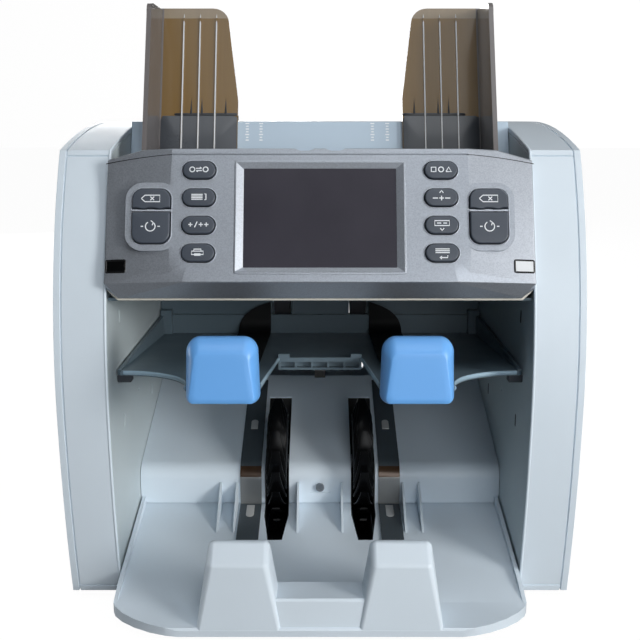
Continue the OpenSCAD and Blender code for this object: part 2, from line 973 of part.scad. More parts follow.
module display_bezel() {
    low = -screen_sink;
    color("silver")
    on_console() translate([0, bezel_y, 0]) difference() {
        translate([-bezel_wide / 2, -bezel_high / 2, low]) cube([bezel_wide, bezel_high, bezel_proud - low]);
        hull() {
            translate([0, 0, bezel_proud])
                cube([bezel_wide - 2 * bezel_rim, bezel_high - 2 * bezel_rim, thin], center = true);
            translate([0, 0, low]) cube([screen_w, screen_h, thin], center = true);
        }
    }
}

module display_panel() {
    color([0.13, 0.12, 0.15])
    on_console() translate([0, bezel_y, -screen_sink - panel_t / 2])
        cube([screen_w + bezel_w, screen_h + bezel_w, panel_t], center = true);
}

module keypad_board() {
    x = pair_x + pair_w / 2 + key_lip;
    color("darkgreen")
    on_console() translate([-x, board_low - face_down, -console_d])
        cube([2 * x, face_up + face_down - top_drop - board_high, board_t]);
}

module indicator_windows() {
    color([0.1, 0.1, 0.1])
    on_console() both_sides() on_end() translate([window_x, window_y, window_proud - window_d / 2])
        cube([window_w, window_h, window_d], center = true);
}

// Cap through the face, and a flange behind it
module pill_key(s, i) {
    color([0.25, 0.27, 0.31])
    on_console() at_pill(s, i) {
        translate([0, 0, -key_back]) linear_extrude(key_back + key_proud) pill(pill_w, pill_h);
        translate([0, 0, -key_back]) linear_extrude(key_flange)
            pill(pill_w + 2 * key_lip, pill_h + 2 * key_lip);
    }
}

module pair_key(s, upper) {
    color([0.25, 0.27, 0.31])
    on_console() translate([s * pair_x, 0, -key_back]) {
        linear_extrude(key_back + key_proud) pair_outline(upper, 0);
        linear_extrude(key_flange) pair_outline(upper, key_lip / 2);
    }
}

module key_left_1() {
    pill_key(-1, 0);
}

module key_left_2() {
    pill_key(-1, 1);
}

module key_left_3() {
    pill_key(-1, 2);
}

module key_left_4() {
    pill_key(-1, 3);
}

module key_right_1() {
    pill_key(1, 0);
}

module key_right_2() {
    pill_key(1, 1);
}

module key_right_3() {
    pill_key(1, 2);
}

module key_right_4() {
    pill_key(1, 3);
}

module clear_key_left() {
    pair_key(-1, true);
}

module reset_key_left() {
    pair_key(-1, false);
}

module clear_key_right() {
    pair_key(1, true);
}

module reset_key_right() {
    pair_key(1, false);
}

// Reject pocket
module pocket_ceiling() {
    y0 = pan_y(ceiling_z) + ceiling_in;
    y1 = back_plate_y - fit;
    z0 = ceiling_z + ceiling_fall;
    color([0.2, 0.25, 0.27])
    along_x(-hw + fit, hw - fit) polygon([
        [y0, z0], [y1, ceiling_z], [y1, ceiling_z + ceiling_t], [y0, z0 + ceiling_t]
    ]);
}

// Right half of the reject floor's outline, from the notch round to the back
function reject_outline() =
    concat(
        [[0, notch_y], [notch_half, notch_y], [tongue_in, tongue_y], [tongue_out, tongue_y]],
        arc([tongue_out + sweep_r, tongue_y], sweep_r, 180, 90),
        [[reject_half, corner_y], [reject_half, reject_back_y + reject_t], [0, reject_back_y + reject_t]]
    );

module reject_tray() {
    top = reject_floor(reject_back_y);
    side_x = reject_half - side_wall_t;
    skirt_z = reject_floor(notch_y) - reject_t;
    cell = (2 * notch_half - cell_wall) / cells;
    color([0.27, 0.3, 0.33]) {
        intersection() {
            along_x(-hw, hw) polygon([
                [tongue_y, reject_floor(tongue_y)],
                [tongue_y, reject_floor(tongue_y) - reject_t],
                [reject_back_y + reject_t, top - reject_t],
                [reject_back_y + reject_t, top]
            ]);
            both_sides() linear_extrude(body_h) polygon(reject_outline());
        }
        along_x(-reject_half, reject_half) translate([reject_back_y, top - reject_t])
            square([reject_t, reject_wall_h + reject_t]);
        both_sides() {
            along_x(side_x, reject_half) polygon([
                [corner_y, reject_floor(corner_y) - reject_t],
                [reject_back_y + reject_t, top - reject_t],
                [reject_back_y + reject_t, top + reject_wall_h],
                [corner_y, reject_floor(corner_y) + side_wall_low]
            ]);
            translate([reject_half - corner_w, reject_back_y - corner_d, top - reject_t])
                cube([corner_w, corner_d + reject_t, reject_t + corner_h]);
            translate([notch_half - notch_tab_w, notch_y, skirt_z])
                cube([notch_tab_w, notch_tab_d, reject_t + notch_tab_h]);
        }
        difference() {
            block(-notch_half, notch_half, notch_y, notch_y + cell_d, skirt_z - cell_h, skirt_z + over);
            for (i = [0:cells - 1]) {
                translate([i * cell + cell_wall - notch_half, notch_y - over, skirt_z - cell_h + cell_wall])
                    cube([cell - cell_wall, cell_d, cell_h - cell_wall]);
            }
        }
    }
}

// One cap: full outline at its back, a smaller trapezoid at its front
module reject_lip() {
    e = blue_edge;
    w = blue_w / 2 - e;
    z0 = reject_floor(tongue_y) - blue_drop + e;
    z1 = z0 + blue_h - 2 * e;
    y = tongue_y - fit - e;
    y1 = y - blue_deep;
    hull() {
        for (s = [-1, 1]) {
            translate([blue_x + s * w, y, z0]) sphere(e, $fn = 32);
            translate([blue_x + s * (w - blue_taper), y, z1]) sphere(e, $fn = 32);
            translate([blue_x + s * (w - blue_face[0]), y1, z0 + blue_fall[0]]) sphere(e, $fn = 32);
            translate([blue_x + s * (w - blue_face[1]), y1 + blue_lean, z1 - blue_fall[1]])
                sphere(e, $fn = 32);
        }
    }
}

module reject_lips() {
    color([0.35, 0.6, 0.85]) both_sides() reject_lip();
}

module reject_back_plate() {
    x = hw - fit;
    slot_z = 2 * (reject_r + plate_slot_gap);
    color([0.22, 0.27, 0.3])
    difference() {
        block(-x, x, back_plate_y, back_plate_y + plate, reject_z - plate_drop, ceiling_z + ceiling_t);
        for (s = [-1, 1]) {
            translate([s * wheel_x, back_plate_y, reject_c[1]])
                cube([plate_slot_w, 3 * plate, slot_z], center = true);
        }
    }
}

// Bands lying on the reject floor that turn up in front of the plate and close in to a point
module reject_strips() {
    y1 = reject_back_y - fit;
    z_end = reject_z + band_rise;
    bend = band_bend;
    c = [y1 - bend, reject_floor(y1 - bend) + fit + bend];
    y0 = tongue_y + band_in;
    lift = reject_floor(y0) + fit;
    x1 = band_x + band_w;
    turn = acos(pow(band_x / x1, band_curve / 2));
    bow = [for (i = [0:band_points]) bowed(x1, band_rise, band_curve, turn * i / band_points)];
    color([0.12, 0.13, 0.14])
    both_sides() intersection() {
        along_x(0, hw) polygon(concat(
            [[y0, lift], [y0, lift + strip_t]],
            arc(c, bend - strip_t, 270, 360, 6),
            [[y1 - strip_t, z_end], [y1, z_end]],
            backwards(arc(c, bend, 270, 360, 6))
        ));
        translate([0, y1 + over, 0]) rotate([90, 0, 0]) linear_extrude(y1 - tongue_y)
            polygon(concat([[band_x, 0], [x1, 0]], [for (p = bow) p + [0, reject_z]]));
    }
}

module reject_sensor() {
    top = reject_floor(notch_y) - reject_t - cell_h;
    color([0.1, 0.1, 0.1])
    translate([-sensor_w / 2, notch_y - sensor_proud, top - sensor_h])
        cube([sensor_w, cell_d + sensor_proud, sensor_h]);
}

module reject_wheels() {
    color([0.15, 0.15, 0.15]) {
        bar(reject_c, shaft_r, -frame_out, shaft_end);
        both_sides() bar(reject_c, reject_r, wheel_x - reject_w / 2, wheel_x + reject_w / 2);
        bar(reject_c, reject_pulley_r, layer_1, layer_1 + belt_w);
    }
}

module diverter_gate() {
    half = hw - gate_edge;
    color("dimgray") {
        bar(gate_c, pin_r, -frame_out, frame_out);
        bar(gate_c, gate_r, -half, half);
        along_x(-half, half) translate(gate_c) rotate(gate_turn) translate([0, -gate_t / 2])
            square([gate_long, gate_t]);
    }
}

// Stacker pocket
// A point of the tray's bowed front corner, from its side at 0 to its front edge at 90
function tray_bow(a) =
    let (b = bowed(tray_corner, front_run, tray_curve, a))
    [tray_half - tray_corner + b[0], crease_y - b[1]];

module stacker_tray() {
    outer = tray_half - tray_wall_t;
    slot_y = stack_c[0] - stack_r - slot_front;
    tip_z = floor_front_z - tip_drop;
    wall_y0 = crease_y + tray_wall_run;
    wall_y1 = nose_y - fit;
    sill_y = tray_tip + sill_in;
    sill_end = crease_y - over;
    t = wall;
    color("whitesmoke") {
        difference() {
            intersection() {
                along_x(-hw, hw) polygon([
                    [floor_rear_y, stack_floor(floor_rear_y)], [crease_y, floor_front_z],
                    [tray_tip + tip_round, tip_z], [tray_tip, tip_z - tip_round], [tray_tip, tray_edge_z],
                    [crease_y, tray_edge_z], [crease_y, floor_front_z - t],
                    [floor_rear_y, stack_floor(floor_rear_y) - t]
                ]);
                linear_extrude(body_h) polygon(concat(
                    [[-tray_half, floor_rear_y]],
                    [for (a = [0:15:90]) [-tray_bow(a)[0], tray_bow(a)[1]]],
                    [for (a = [90:-15:0]) tray_bow(a)],
                    [[tray_half, floor_rear_y]]
                ));
            }
            both_sides() translate([wheel_x, 0, 0]) linear_extrude(body_h) polygon([
                [-wheel_slot / 2, floor_rear_y + over], [-wheel_slot / 2, slot_y + slot_taper],
                [-slot_tip / 2, slot_y], [slot_tip / 2, slot_y],
                [wheel_slot / 2, slot_y + slot_taper], [wheel_slot / 2, floor_rear_y + over]
            ]);
        }
        both_sides() {
            along_x(outer, tray_half) polygon([
                [floor_rear_y, base_top], [floor_rear_y, stack_floor(floor_rear_y)],
                [wall_y1, stack_floor(wall_y1)], [wall_y1, stack_floor(wall_y1) + tray_wall_h],
                [wall_y0, stack_floor(wall_y0) + tray_wall_h / 2],
                [crease_y, floor_front_z], [crease_y, base_top]
            ]);
            stacker_lip();
        }
        along_x(-lip_x, lip_x) polygon([
            [sill_y, tray_edge_z], [sill_y + sill_lean, sill_h - tip_round],
            [sill_y + sill_lean + tip_round, sill_h], [sill_end - sill_slope, sill_h],
            [sill_end, floor_front_z - tip_round], [sill_end, tray_edge_z]
        ]);
    }
}

module stacker_lip() {
    e = lip_edge;
    r = lip_round;
    w = lip_w / 2 - e;
    w1 = lip_w / 2 - lip_taper - r;
    y = tray_tip + e;
    y1 = tray_tip + r;
    z1 = lip_h - r;
    hull() {
        for (s = [-1, 1]) {
            translate([lip_x + s * w, y, tray_edge_z + e]) sphere(e, $fn = 32);
            translate([lip_x + s * w1, y1 + lip_lean, z1 - lip_front_h]) sphere(r, $fn = 32);
            translate([lip_x + s * w1, y1 + lip_back, z1]) sphere(r, $fn = 32);
            translate([lip_x + s * w, crease_y - e, tray_edge_z + e]) sphere(e, $fn = 32);
        }
    }
}

module stacker_ramp() {
    rear_y = stack_c[0] + stack_r + slot_rear;
    fin_z = nose_z - fin_drop;
    toe = nose_y - fin_run;
    screw_z = nose_z - screw_drop;
    rear_fin = strip_x + strip_w + fin_t;
    color("whitesmoke") {
        difference() {
            along_x(-hw + fit, hw - fit) polygon(concat(
                ramp_line(0, ramp_end_y, ramp_foot_z),
                backwards(ramp_line(-wall, ramp_end_y, ramp_foot_z))
            ));
            for (s = [-1, 1]) {
                translate([s * wheel_x - wheel_slot / 2, nose_y - over, 0])
                    cube([wheel_slot, rear_y - nose_y + over, body_h]);
            }
            translate([0, nose_y - over, screw_z]) rotate([-90, 0, 0])
                cylinder(h = 2 * wall, r = screw_r + fit);
            translate([-screw_pad, nose_y - over, screw_z - screw_head_r - over])
                cube([2 * screw_pad, screw_pad_d + over, 2 * (screw_head_r + over)]);
        }
        both_sides() for (x = [fin_x, rear_fin, rear_fin + fin_gap]) {
            along_x(x, x + fin_t) polygon([
                [nose_y + over, fin_z], [nose_y - fin_t / 2, fin_z], [toe, stack_floor(toe) + fit],
                [nose_y, stack_floor(nose_y) + fit], [nose_y + over, ramp_foot_z]
            ]);
        }
    }
}

// Polished bands from the ramp's top over the nose and out along the floor
module stacker_strips() {
    y1 = ramp_end_y - strip_short;
    y0 = nose_y - strip_run;
    low = stack_floor(nose_y) + fit;
    color("slategray")
    both_sides() along_x(strip_x, strip_x + strip_w) polygon(concat(
        ramp_line(fit, y1, low),
        [[y0, stack_floor(y0) + fit], [y0, stack_floor(y0) + fit + strip_t]],
        backwards(ramp_line(fit + strip_t, y1, low + strip_t))
    ));
}

// A vane's point at s between root and tip, on its upper or lower side
function vane_point(a, s, side) =
    let (r = hub_r - 1 + (stack_r - hub_r + 1) * s)
    let (b = a - vane_sweep * s + side * vane_t / 2 / r * 180 / PI)
    r * [cos(b), sin(b)];

module vane(a) {
    steps = [0:0.2:1];
    polygon(concat(
        [for (s = steps) vane_point(a, s, -1)],
        [for (s = steps) vane_point(a, 1 - s, 1)]
    ));
}

module stacker_wheels() {
    color([0.1, 0.1, 0.1])
    both_sides() difference() {
        union() {
            bar(stack_c, hub_r, wheel_x - stack_w / 2, wheel_x + stack_w / 2);
            along_x(wheel_x - vane_w / 2, wheel_x + vane_w / 2) translate(stack_c) {
                for (i = [0:vanes - 1]) vane(360 * i / vanes);
            }
        }
        bar(stack_c, shaft_r, 0, half_w);
    }
}

module stacker_shaft() {
    color("silver") {
        bar(stack_c, shaft_r, -shaft_end, frame_out);
        bar(stack_c, pulley_r, -layer_2 - belt_w, -layer_2);
    }
}

module ramp_screw() {
    color("silver")
    translate([0, nose_y + screw_pad_d - screw_head_t - fit, nose_z - screw_drop]) rotate([-90, 0, 0])
    difference() {
        union() {
            cylinder(h = screw_head_t, r = screw_head_r);
            cylinder(h = screw_head_t + wall + plate, r = screw_r);
        }
        cube([screw_cross, screw_slot, screw_head_t], center = true);
        cube([screw_slot, screw_cross, screw_head_t], center = true);
    }
}

// Drive and electrics
module feed_rollers() {
    color([0.2, 0.2, 0.22]) {
        bar(feed_c, shaft_r, -shaft_end, frame_out);
        both_sides() bar(feed_c, feed_r, wheel_x - feed_w / 2, wheel_x + feed_w / 2);
        bar(feed_c, feed_pulley_r, -layer_2 - belt_w, -layer_2);
    }
}

module transport_rollers() {
    color([0.25, 0.25, 0.28]) {
        bar(transport_c, shaft_r, -shaft_end, shaft_end);
        both_sides() {
            bar(transport_c, transport_r, transport_x - transport_w / 2, transport_x + transport_w / 2);
        }
        bar(transport_c, transport_pulley_r, -layer_1 - belt_w, -layer_1);
        bar(transport_c, pulley_r, -layer_2 - belt_w, -layer_2);
        bar(transport_c, pulley_r, layer_1, layer_1 + belt_w);
    }
}

module drive_motor() {
    color("gray") {
        bar(motor_c, motor_r, -hw, motor_len - hw);
        bar(motor_c, motor_nose_r, motor_len - hw - over, motor_len - hw + motor_nose);
    }
}

module motor_pulley() {
    color("silver") {
        bar(motor_c, motor_axle, -shaft_end, -hw - fit);
        bar(motor_c, motor_pulley_r, -layer_1 - belt_w, -layer_1);
        bar(motor_c, motor_pulley_r, -layer_2 - belt_w, -layer_2);
    }
}

module belt(c0, r0, c1, r1) {
    difference() {
        polygon(loop(c0, r0, c1, r1, belt_gap + belt_t));
        polygon(loop(c0, r0, c1, r1, belt_gap));
    }
}

module drive_belts() {
    color([0.12, 0.12, 0.12]) {
        along_x(belt_in - layer_1 - belt_w, -layer_1 - belt_in)
            belt(motor_c, motor_pulley_r, transport_c, transport_pulley_r);
        along_x(belt_in - layer_2 - belt_w, -layer_2 - belt_in) {
            belt(motor_c, motor_pulley_r, stack_c, pulley_r);
            belt(transport_c, pulley_r, feed_c, feed_pulley_r);
        }
        along_x(layer_1 + belt_in, layer_1 + belt_w - belt_in)
            belt(transport_c, pulley_r, reject_c, reject_pulley_r);
    }
}

module sensor_bars() {
    y = wall_top_y + bar_back;
    color([0.15, 0.16, 0.18])
    for (z = [hopper_floor_z - bar_low, hopper_floor_z + bar_high]) {
        block(fit - hw, hw - fit, y, y + bar_d, z, z + bar_h);
    }
}

// Boards and supply on the base plate
module main_board() {
    x0 = strip_x + board_x;
    x1 = hw - board_side;
    y0 = nose_y + board_in;
    y1 = y0 + board_long;
    z = base_top + board_up;
    color("darkgreen") {
        block(x0, x1, y0, y1, z, z + board_thick);
        for (x = [x0 + post_in, x1 - post_in], y = [y0 + post_in, y1 - post_in]) {
            translate([x, y, base_top]) cylinder(h = board_up + over, r = post_r);
        }
        translate([x0 + chip_x, y0 + chip_y, z + over]) cube([chip, chip, chip_h]);
    }
}

module power_supply() {
    y1 = y_b - supply_in;
    color("gray") block(supply_gap, hw - supply_gap, y1 - supply_long, y1, base_top, base_top + supply_h);
}

// Socket with three blades, held by a flange behind the rear cover
module power_inlet() {
    y = y_b - inlet_d;
    x = inlet_w / 2;
    z = inlet_h / 2;
    w = socket_wall;
    seat = y_b - wall - fit;
    root = y + socket_floor;
    color([0.1, 0.1, 0.1])
    translate([inlet_x, 0, inlet_z]) {
        difference() {
            union() {
                block(-x, x, y, y_b, -z, z);
                block(-x - w, x + w, seat - w, seat, -z - w, z + w);
            }
            block(w - x, x - w, root, y_b + over, w - z, z - w);
        }
        for (p = blade_places) {
            translate([p[0] - blade[0] / 2, root - over, p[1] - blade[1] / 2])
                cube([blade[0], y_b - blade_in - root + over, blade[1]]);
        }
    }
}

// Open box that the rocker tips in
module switch_housing() {
    x = switch_w / 2;
    z = switch_h / 2;
    w = socket_wall;
    seat = y_b - wall - fit;
    well = rocker_half + fit;
    color([0.15, 0.15, 0.15])
    difference() {
        translate([switch_x, 0, inlet_z]) difference() {
            union() {
                block(-x, x, y_b - switch_d, y_b, -z, z);
                block(-x - w, x + w, seat - w, seat, -z - w, z + w);
            }
            block(-well, well, y_b - switch_well, y_b + over, switch_rim - z, z - switch_rim);
        }
        bar(rocker_c, rocker_pin + run, switch_x - x - w - over, switch_x + x + w + over);
    }
}

module power_switch() {
    z = switch_h / 2 - rocker_gap;
    pin = rocker_half + rocker_pin;
    color([0.1, 0.1, 0.1]) {
        along_x(switch_x - rocker_half, switch_x + rocker_half) translate(rocker_c) polygon([
            [-rocker_deep, rocker_cut - z], [rocker_out, -z], [rocker_mid, 0], [rocker_low, z],
            [-rocker_deep, z - rocker_cut]
        ]);
        bar(rocker_c, rocker_pin, switch_x - pin, switch_x + pin);
    }
}

base_plate();
rubber_feet();
side_frame_left();
side_frame_right();
side_cover_left();
side_cover_right();
rear_cover();
rear_door();
top_cover();
hopper_wall();
hopper_floor();
guide_rail();
hopper_guide_left();
hopper_guide_right();
guide_carriage_left();
guide_carriage_right();
console_shell();
console_pan();
display_bezel();
display_panel();
keypad_board();
indicator_windows();
key_left_1();
key_left_2();
key_left_3();
key_left_4();
key_right_1();
key_right_2();
key_right_3();
key_right_4();
clear_key_left();
reset_key_left();
clear_key_right();
reset_key_right();
pocket_ceiling();
reject_tray();
reject_lips();
reject_back_plate();
reject_strips();
reject_sensor();
reject_wheels();
diverter_gate();
stacker_tray();
stacker_ramp();
stacker_strips();
stacker_wheels();
stacker_shaft();
ramp_screw();
feed_rollers();
transport_rollers();
drive_motor();
motor_pulley();
drive_belts();
sensor_bars();
main_board();
power_supply();
power_inlet();
switch_housing();
power_switch();
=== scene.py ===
"""Looks of a two-pocket banknote counter, built round its packed construction.

The frame is loaded first. Each operator finishes one group of pieces: construction nodes get
their finish and softened edges, and moulded forms are surfaces worked out with numpy.
"""

import json
import math

import bmesh
import bpy
import numpy as np
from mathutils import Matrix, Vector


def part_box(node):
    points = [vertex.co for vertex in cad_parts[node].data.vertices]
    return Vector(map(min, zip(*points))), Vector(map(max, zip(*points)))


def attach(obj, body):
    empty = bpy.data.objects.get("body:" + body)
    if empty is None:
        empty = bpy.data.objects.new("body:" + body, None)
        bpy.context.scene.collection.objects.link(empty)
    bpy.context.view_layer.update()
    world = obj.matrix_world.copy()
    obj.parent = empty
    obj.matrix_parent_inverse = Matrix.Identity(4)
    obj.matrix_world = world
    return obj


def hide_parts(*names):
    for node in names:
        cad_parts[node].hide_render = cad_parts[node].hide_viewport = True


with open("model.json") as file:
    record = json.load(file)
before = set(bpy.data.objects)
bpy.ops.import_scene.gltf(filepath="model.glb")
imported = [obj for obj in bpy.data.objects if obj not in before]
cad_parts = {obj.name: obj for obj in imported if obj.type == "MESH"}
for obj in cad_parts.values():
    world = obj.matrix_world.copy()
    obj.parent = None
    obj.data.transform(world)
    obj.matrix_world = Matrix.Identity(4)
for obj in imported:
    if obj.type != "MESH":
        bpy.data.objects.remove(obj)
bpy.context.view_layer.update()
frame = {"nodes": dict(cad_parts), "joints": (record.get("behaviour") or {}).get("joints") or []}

bl_info = {
    "name": "Banknote Counter Looks",
    "version": (1, 0, 0),
    "blender": (4, 5, 0),
    "location": "View3D > Sidebar > Counter",
    "description": "Finishes, moulded forms and stage of a two-pocket banknote counter",
    "category": "Object",
}

MM = 0.001
NEAR = 0.00001  # points this close lie on one face
WELD = 0.0000005  # points this close are one
NODES = frame["nodes"]
JOINTS = {joint["name"]: joint for joint in frame["joints"]}
WHEEL_AXIS = np.array(JOINTS["stacker_spin"]["pos_m"])
PILL_KEYS = [f"key_{side}_{row}" for side in ("left", "right") for row in range(1, 5)]
PAIR_KEYS = [f"{use}_key_{side}" for side in ("left", "right") for use in ("clear", "reset")]


def box(node):
    """Lowest and highest corner of a node, as arrays in metres."""
    low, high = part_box(node)
    return np.array(low), np.array(high)


def srgb(red, green, blue):
    """Scene-linear colour of an 8-bit screen colour."""
    value = np.array([red, green, blue]) / 255
    linear = np.where(value <= 0.04045, value / 12.92, ((value + 0.055) / 1.055) ** 2.4)
    return tuple(float(part) for part in linear)


def colour(name, description, rgb):
    """A colour property with its default written as a screen colour."""
    return bpy.props.FloatVectorProperty(
        name=name, description=description, subtype="COLOR", size=3, min=0, max=1, default=srgb(*rgb)
    )


def length(name, description, millimetres):
    """A length property with its default written in millimetres."""
    return bpy.props.FloatProperty(
        name=name, description=description, unit="LENGTH", min=0, default=millimetres * MM
    )


def number(name, description, value):
    """A plain number property."""
    return bpy.props.FloatProperty(name=name, description=description, default=value)


class CounterColours(bpy.types.PropertyGroup):
    """Colours of the machine's finishes."""

    white: colour("White plastic", "Side covers, ramp and stacker tray", (214, 226, 236))
    inner: colour("Inner walls", "Painted side plates inside the pockets", (194, 206, 210))
    silver: colour("Console paint", "Metallic paint of the console", (162, 168, 177))
    key: colour("Keys", "Moulded keys of the console", (66, 73, 84))
    mark: colour("Marks", "Printed marks on keys and hopper wall", (232, 236, 240))
    screen: colour("Screen", "Switched-off display", (50, 48, 58))
    smoke: colour("Smoked guides", "Tinted clear plastic of the note guides", (114, 88, 44))
    border: colour("Guide border", "Paler top border of the note guides", (142, 128, 108))
    flange: colour("Guide flange", "Greyer side flange of the note guides", (112, 108, 108))
    foot: colour("Guide foot", "Carriage seen through the foot of a guide", (62, 66, 72))
    hopper: colour("Hopper wall", "Pale wall behind the notes", (178, 196, 212))
    tray: colour("Reject tray", "Dark plastic of the reject pocket", (102, 120, 131))
    pan: colour("Pan edge", "Cream edge under the console", (206, 204, 194))
    lip: colour("Reject lips", "Blue caps on the reject tray", (110, 176, 244))
    black: colour("Black plastic", "Wheels, carriages and sensors", (16, 17, 19))
    steel: colour("Steel", "Bare and polished metal", (150, 155, 160))
    film: colour("Strip film", "Dark film of the stacker strips", (84, 92, 98))
    # painted reflection: the brown bar where a strip bends stands for warm light mirrored in the bend
    bend: colour("Strip bend", "Brown bar where a strip bends", (84, 60, 40))
    plate: colour("Strip plate", "Grey plate under the bend", (150, 152, 152))
    rubber: colour("Rubber", "Feet, belts and rollers", (34, 34, 36))
    board: colour("Circuit boards", "Lacquered boards", (24, 78, 46))


class CounterSizes(bpy.types.PropertyGroup):
    """Sizes of the moulded forms."""

    edge: length("Cover edge", "Softening of the large covers' edges", 0.9)
    fine_edge: length("Fine edge", "Softening of small pieces' edges", 0.35)
    blade_w: length("Blade width", "Width of the mains inlet's blades", 2.1)
    blade_h: length("Blade height", "Height of the mains inlet's blades", 4.1)
    blade_gap: length("Blade gap", "Distance of the outer blades from the middle one", 7.0)
    blade_low: length("Blade level", "Height of the middle blade over the inlet's middle", 2.0)
    blade_in: length("Blade depth", "Depth of the blades' tips in the inlet", 8.4)
    blade_len: length("Blade length", "Length of the blades' free part", 9.5)
    bead_r: length("Cover bead", "Radius of the round inner edges of the side covers", 0.7)
    bead_in: length("Bead inset", "Depth of that bead's middle in the cover", 0.35)
    bead_back: length("Bead end", "Where that bead ends on the top, behind the middle", 31.0)
    slot_w: length("Slot width", "Width of the right wall's upright slots", 2.4)
    slot_h: length("Slot height", "Height of the right wall's upright slots", 7.0)
    tab_w: length("Tab width", "Width of the tabs that carry the reject tray", 7.0)
    tab_wrap: length("Tab sleeve", "Thickness of the dark sleeves over those tabs", 0.25)
    rocker_fall: bpy.props.FloatVectorProperty(
        name="Rocker fall", description="Fall of the rocker's face at its middle and its upper edge",
        size=2, unit="LENGTH", default=(0.0011, 0.0024),
    )
    key_round: length("Key rounding", "Rounding of the keys' rims", 0.8)
    key_dome: length("Key dome", "Crown of the keys' tops", 0.2)
    key_deep: length("Key depth", "Depth of the keys below their rims", 8.0)
    key_proud: length("Key height", "How far the keys stand out of the face", 1.6)
    key_moat: length("Key moat", "Gap and half the rim round a key", 0.65)
    pair_round: length("Pair rounding", "Rounding of a key pair's outline", 4.6)
    pair_bar: length("Pair bar", "Width of the bar between paired keys", 0.7)
    mark_w: length("Sign stroke", "Stroke of the signs on the keys", 0.5)
    mark_h: length("Mark thickness", "Thickness of the printed marks", 0.05)
    fold_x: length("Console fold", "Distance of the console's folds from the middle", 71.7)
    seam_up: length("Console seam", "Height of the seam over the top keys' middles", 8.0)
    seam_len: length("Seam length", "Length of the seam on a swept end", 33.3)
    seam_drop: length("Seam drop", "Fall of the seam along a swept end", 3.0)
    end_turn: number("End turn", "Turn of the console's swept ends in degrees", 8.74)
    wall_lean: number("Hopper lean", "Lean of the hopper wall in degrees", 21.4)
    guide_front: length("Guide front", "Front of a guide's rear plate over the wall", 2.9)
    guide_flange: length("Guide flange", "Thickness of a guide's flange", 2.4)
    rib_pitch: length("Rib pitch", "Distance between a guide's ribs", 9.1)
    rib_in: length("Rib inset", "Shift of the ribs away from the flange", 2.8)
    # painted highlight: the ribs' bright crests are near-white paint for light caught on the clear
    # ribs
    rib_w: length("Rib width", "Width of the ribs' bright crests", 0.86)
    rib_h: length("Rib height", "How far the bright crests stand out of the rear plate", 1.0)
    rib_over: length("Rib run-out", "How far the crests run out over the ribs' tops", 2.8)
    gussets: bpy.props.FloatVectorProperty(
        name="Gussets", description="Distances of the carriage's gussets from the flange", size=4,
        unit="LENGTH", default=(0.0170, 0.0228, 0.0301, 0.0360),
    )
    lip_w: length("Reject lip width", "Width of one blue cap at its foot", 34.5)
    reject_slope: number("Reject slope", "Rise of the reject floor in degrees", 5.1)
    band_curve: number("Band curve", "Power of the bands' bowed outer edges", 2.4)
    tray_sweep: length("Tray sweep", "Radius of the reject tray's swept corner", 38.45)
    notch_half: length("Notch half", "Half width of the finger notch at its back", 23)
    notch_deep: length("Notch depth", "Depth of the finger notch", 78)
    tongue_in: length("Tongue inside", "Inner edge of a reject tongue from the middle", 28.35)
    tongue_out: length("Tongue outside", "Outer edge of a reject tongue from the middle", 63.05)
    wheel_w: length("Wheel width", "Width of a stacker wheel", 11.6)
    vane_side: length("Vane side", "From a wheel's middle to its outer side", 5.8)
    vanes: bpy.props.IntProperty(name="Blades", description="Blades of a wheel", default=20, min=4)
    vane_sweep: number("Blade sweep", "Sweep of a blade in degrees", 84)
    well_w: length("Slot width", "Width of the wheel slots inside their liner", 13.8)
    well_tip: length("Slot tip", "Width of the slot's front end", 7.8)
    well_front: length("Slot front", "How far the slot runs ahead of the wheel", 15.3)
    well_rear: length("Slot rear", "How far the slot runs behind the wheel", 6.3)
    well_taper: length("Slot taper", "Length of the slot's taper", 22)
    nose_in: length("Nose", "Depth from the ramp's nose to the wheels' axis", 20)
    nose_r: length("Nose radius", "Bend of the ramp's nose", 10)
    ramp_z: length("Ramp height", "Height of the ramp behind its nose", 52)
    ramp_slope: number("Ramp slope", "Slope of the ramp in degrees", 20.2)
    floor_z: length("Floor height", "Height of the stacker floor at the ramp", 27)
    floor_slope: number("Floor slope", "Rise of the stacker floor per length", 0.2099)
    strip_w: length("Strip width", "Width of the steel strips", 12.3)


class Shade:
    """A shader socket that can stand in plain arithmetic; each expression adds its Math nodes."""

    def __init__(self, tree, socket):
        self.tree = tree
        self.socket = socket

    def node(self, kind, settings, inputs, output=0):
        """Adds a node: its settings first, then the values or links of its sockets."""
        made = self.tree.nodes.new("ShaderNode" + kind)
        for name, value in settings.items():
            setattr(made, name, value)
        for name, value in inputs.items():
            if isinstance(value, Shade):
                self.tree.links.new(value.socket, made.inputs[name])
            else:
                made.inputs[name].default_value = value
        return Shade(self.tree, made.outputs[output])

    def math(self, operation, first, second):
        """A Math node on two values or links."""
        return self.node("Math", {"operation": operation}, {0: first, 1: second})

    def __add__(self, other):
        return self.math("ADD", self, other)

    def __sub__(self, other):
        return self.math("SUBTRACT", self, other)

    def __rsub__(self, other):
        return self.math("SUBTRACT", other, self)

    def __mul__(self, other):
        return self.math("MULTIPLY", self, other)

    def __gt__(self, other):
        return self.math("GREATER_THAN", self, other)

    __radd__ = __add__
    __rmul__ = __mul__

    def mix(self, low, high):
        """Colour between low and high, by this value."""
        sockets = {"Factor": self, "A": tint(low), "B": tint(high)}
        return self.node("Mix", {"data_type": "RGBA"}, sockets, 2)


def tint(value):
    """A colour with its alpha, or a link as it is."""
    return value if isinstance(value, Shade) else (*value, 1)


def new_material(name):
    """An empty node material: its Principled shader and its Object coordinates."""
    material = bpy.data.materials.new(name)
    material.use_nodes = True
    shader = material.node_tree.nodes["Principled BSDF"]
    start = Shade(material.node_tree, None)
    spot = start.node("TexCoord", {}, {}, "Object")
    return material, shader, spot


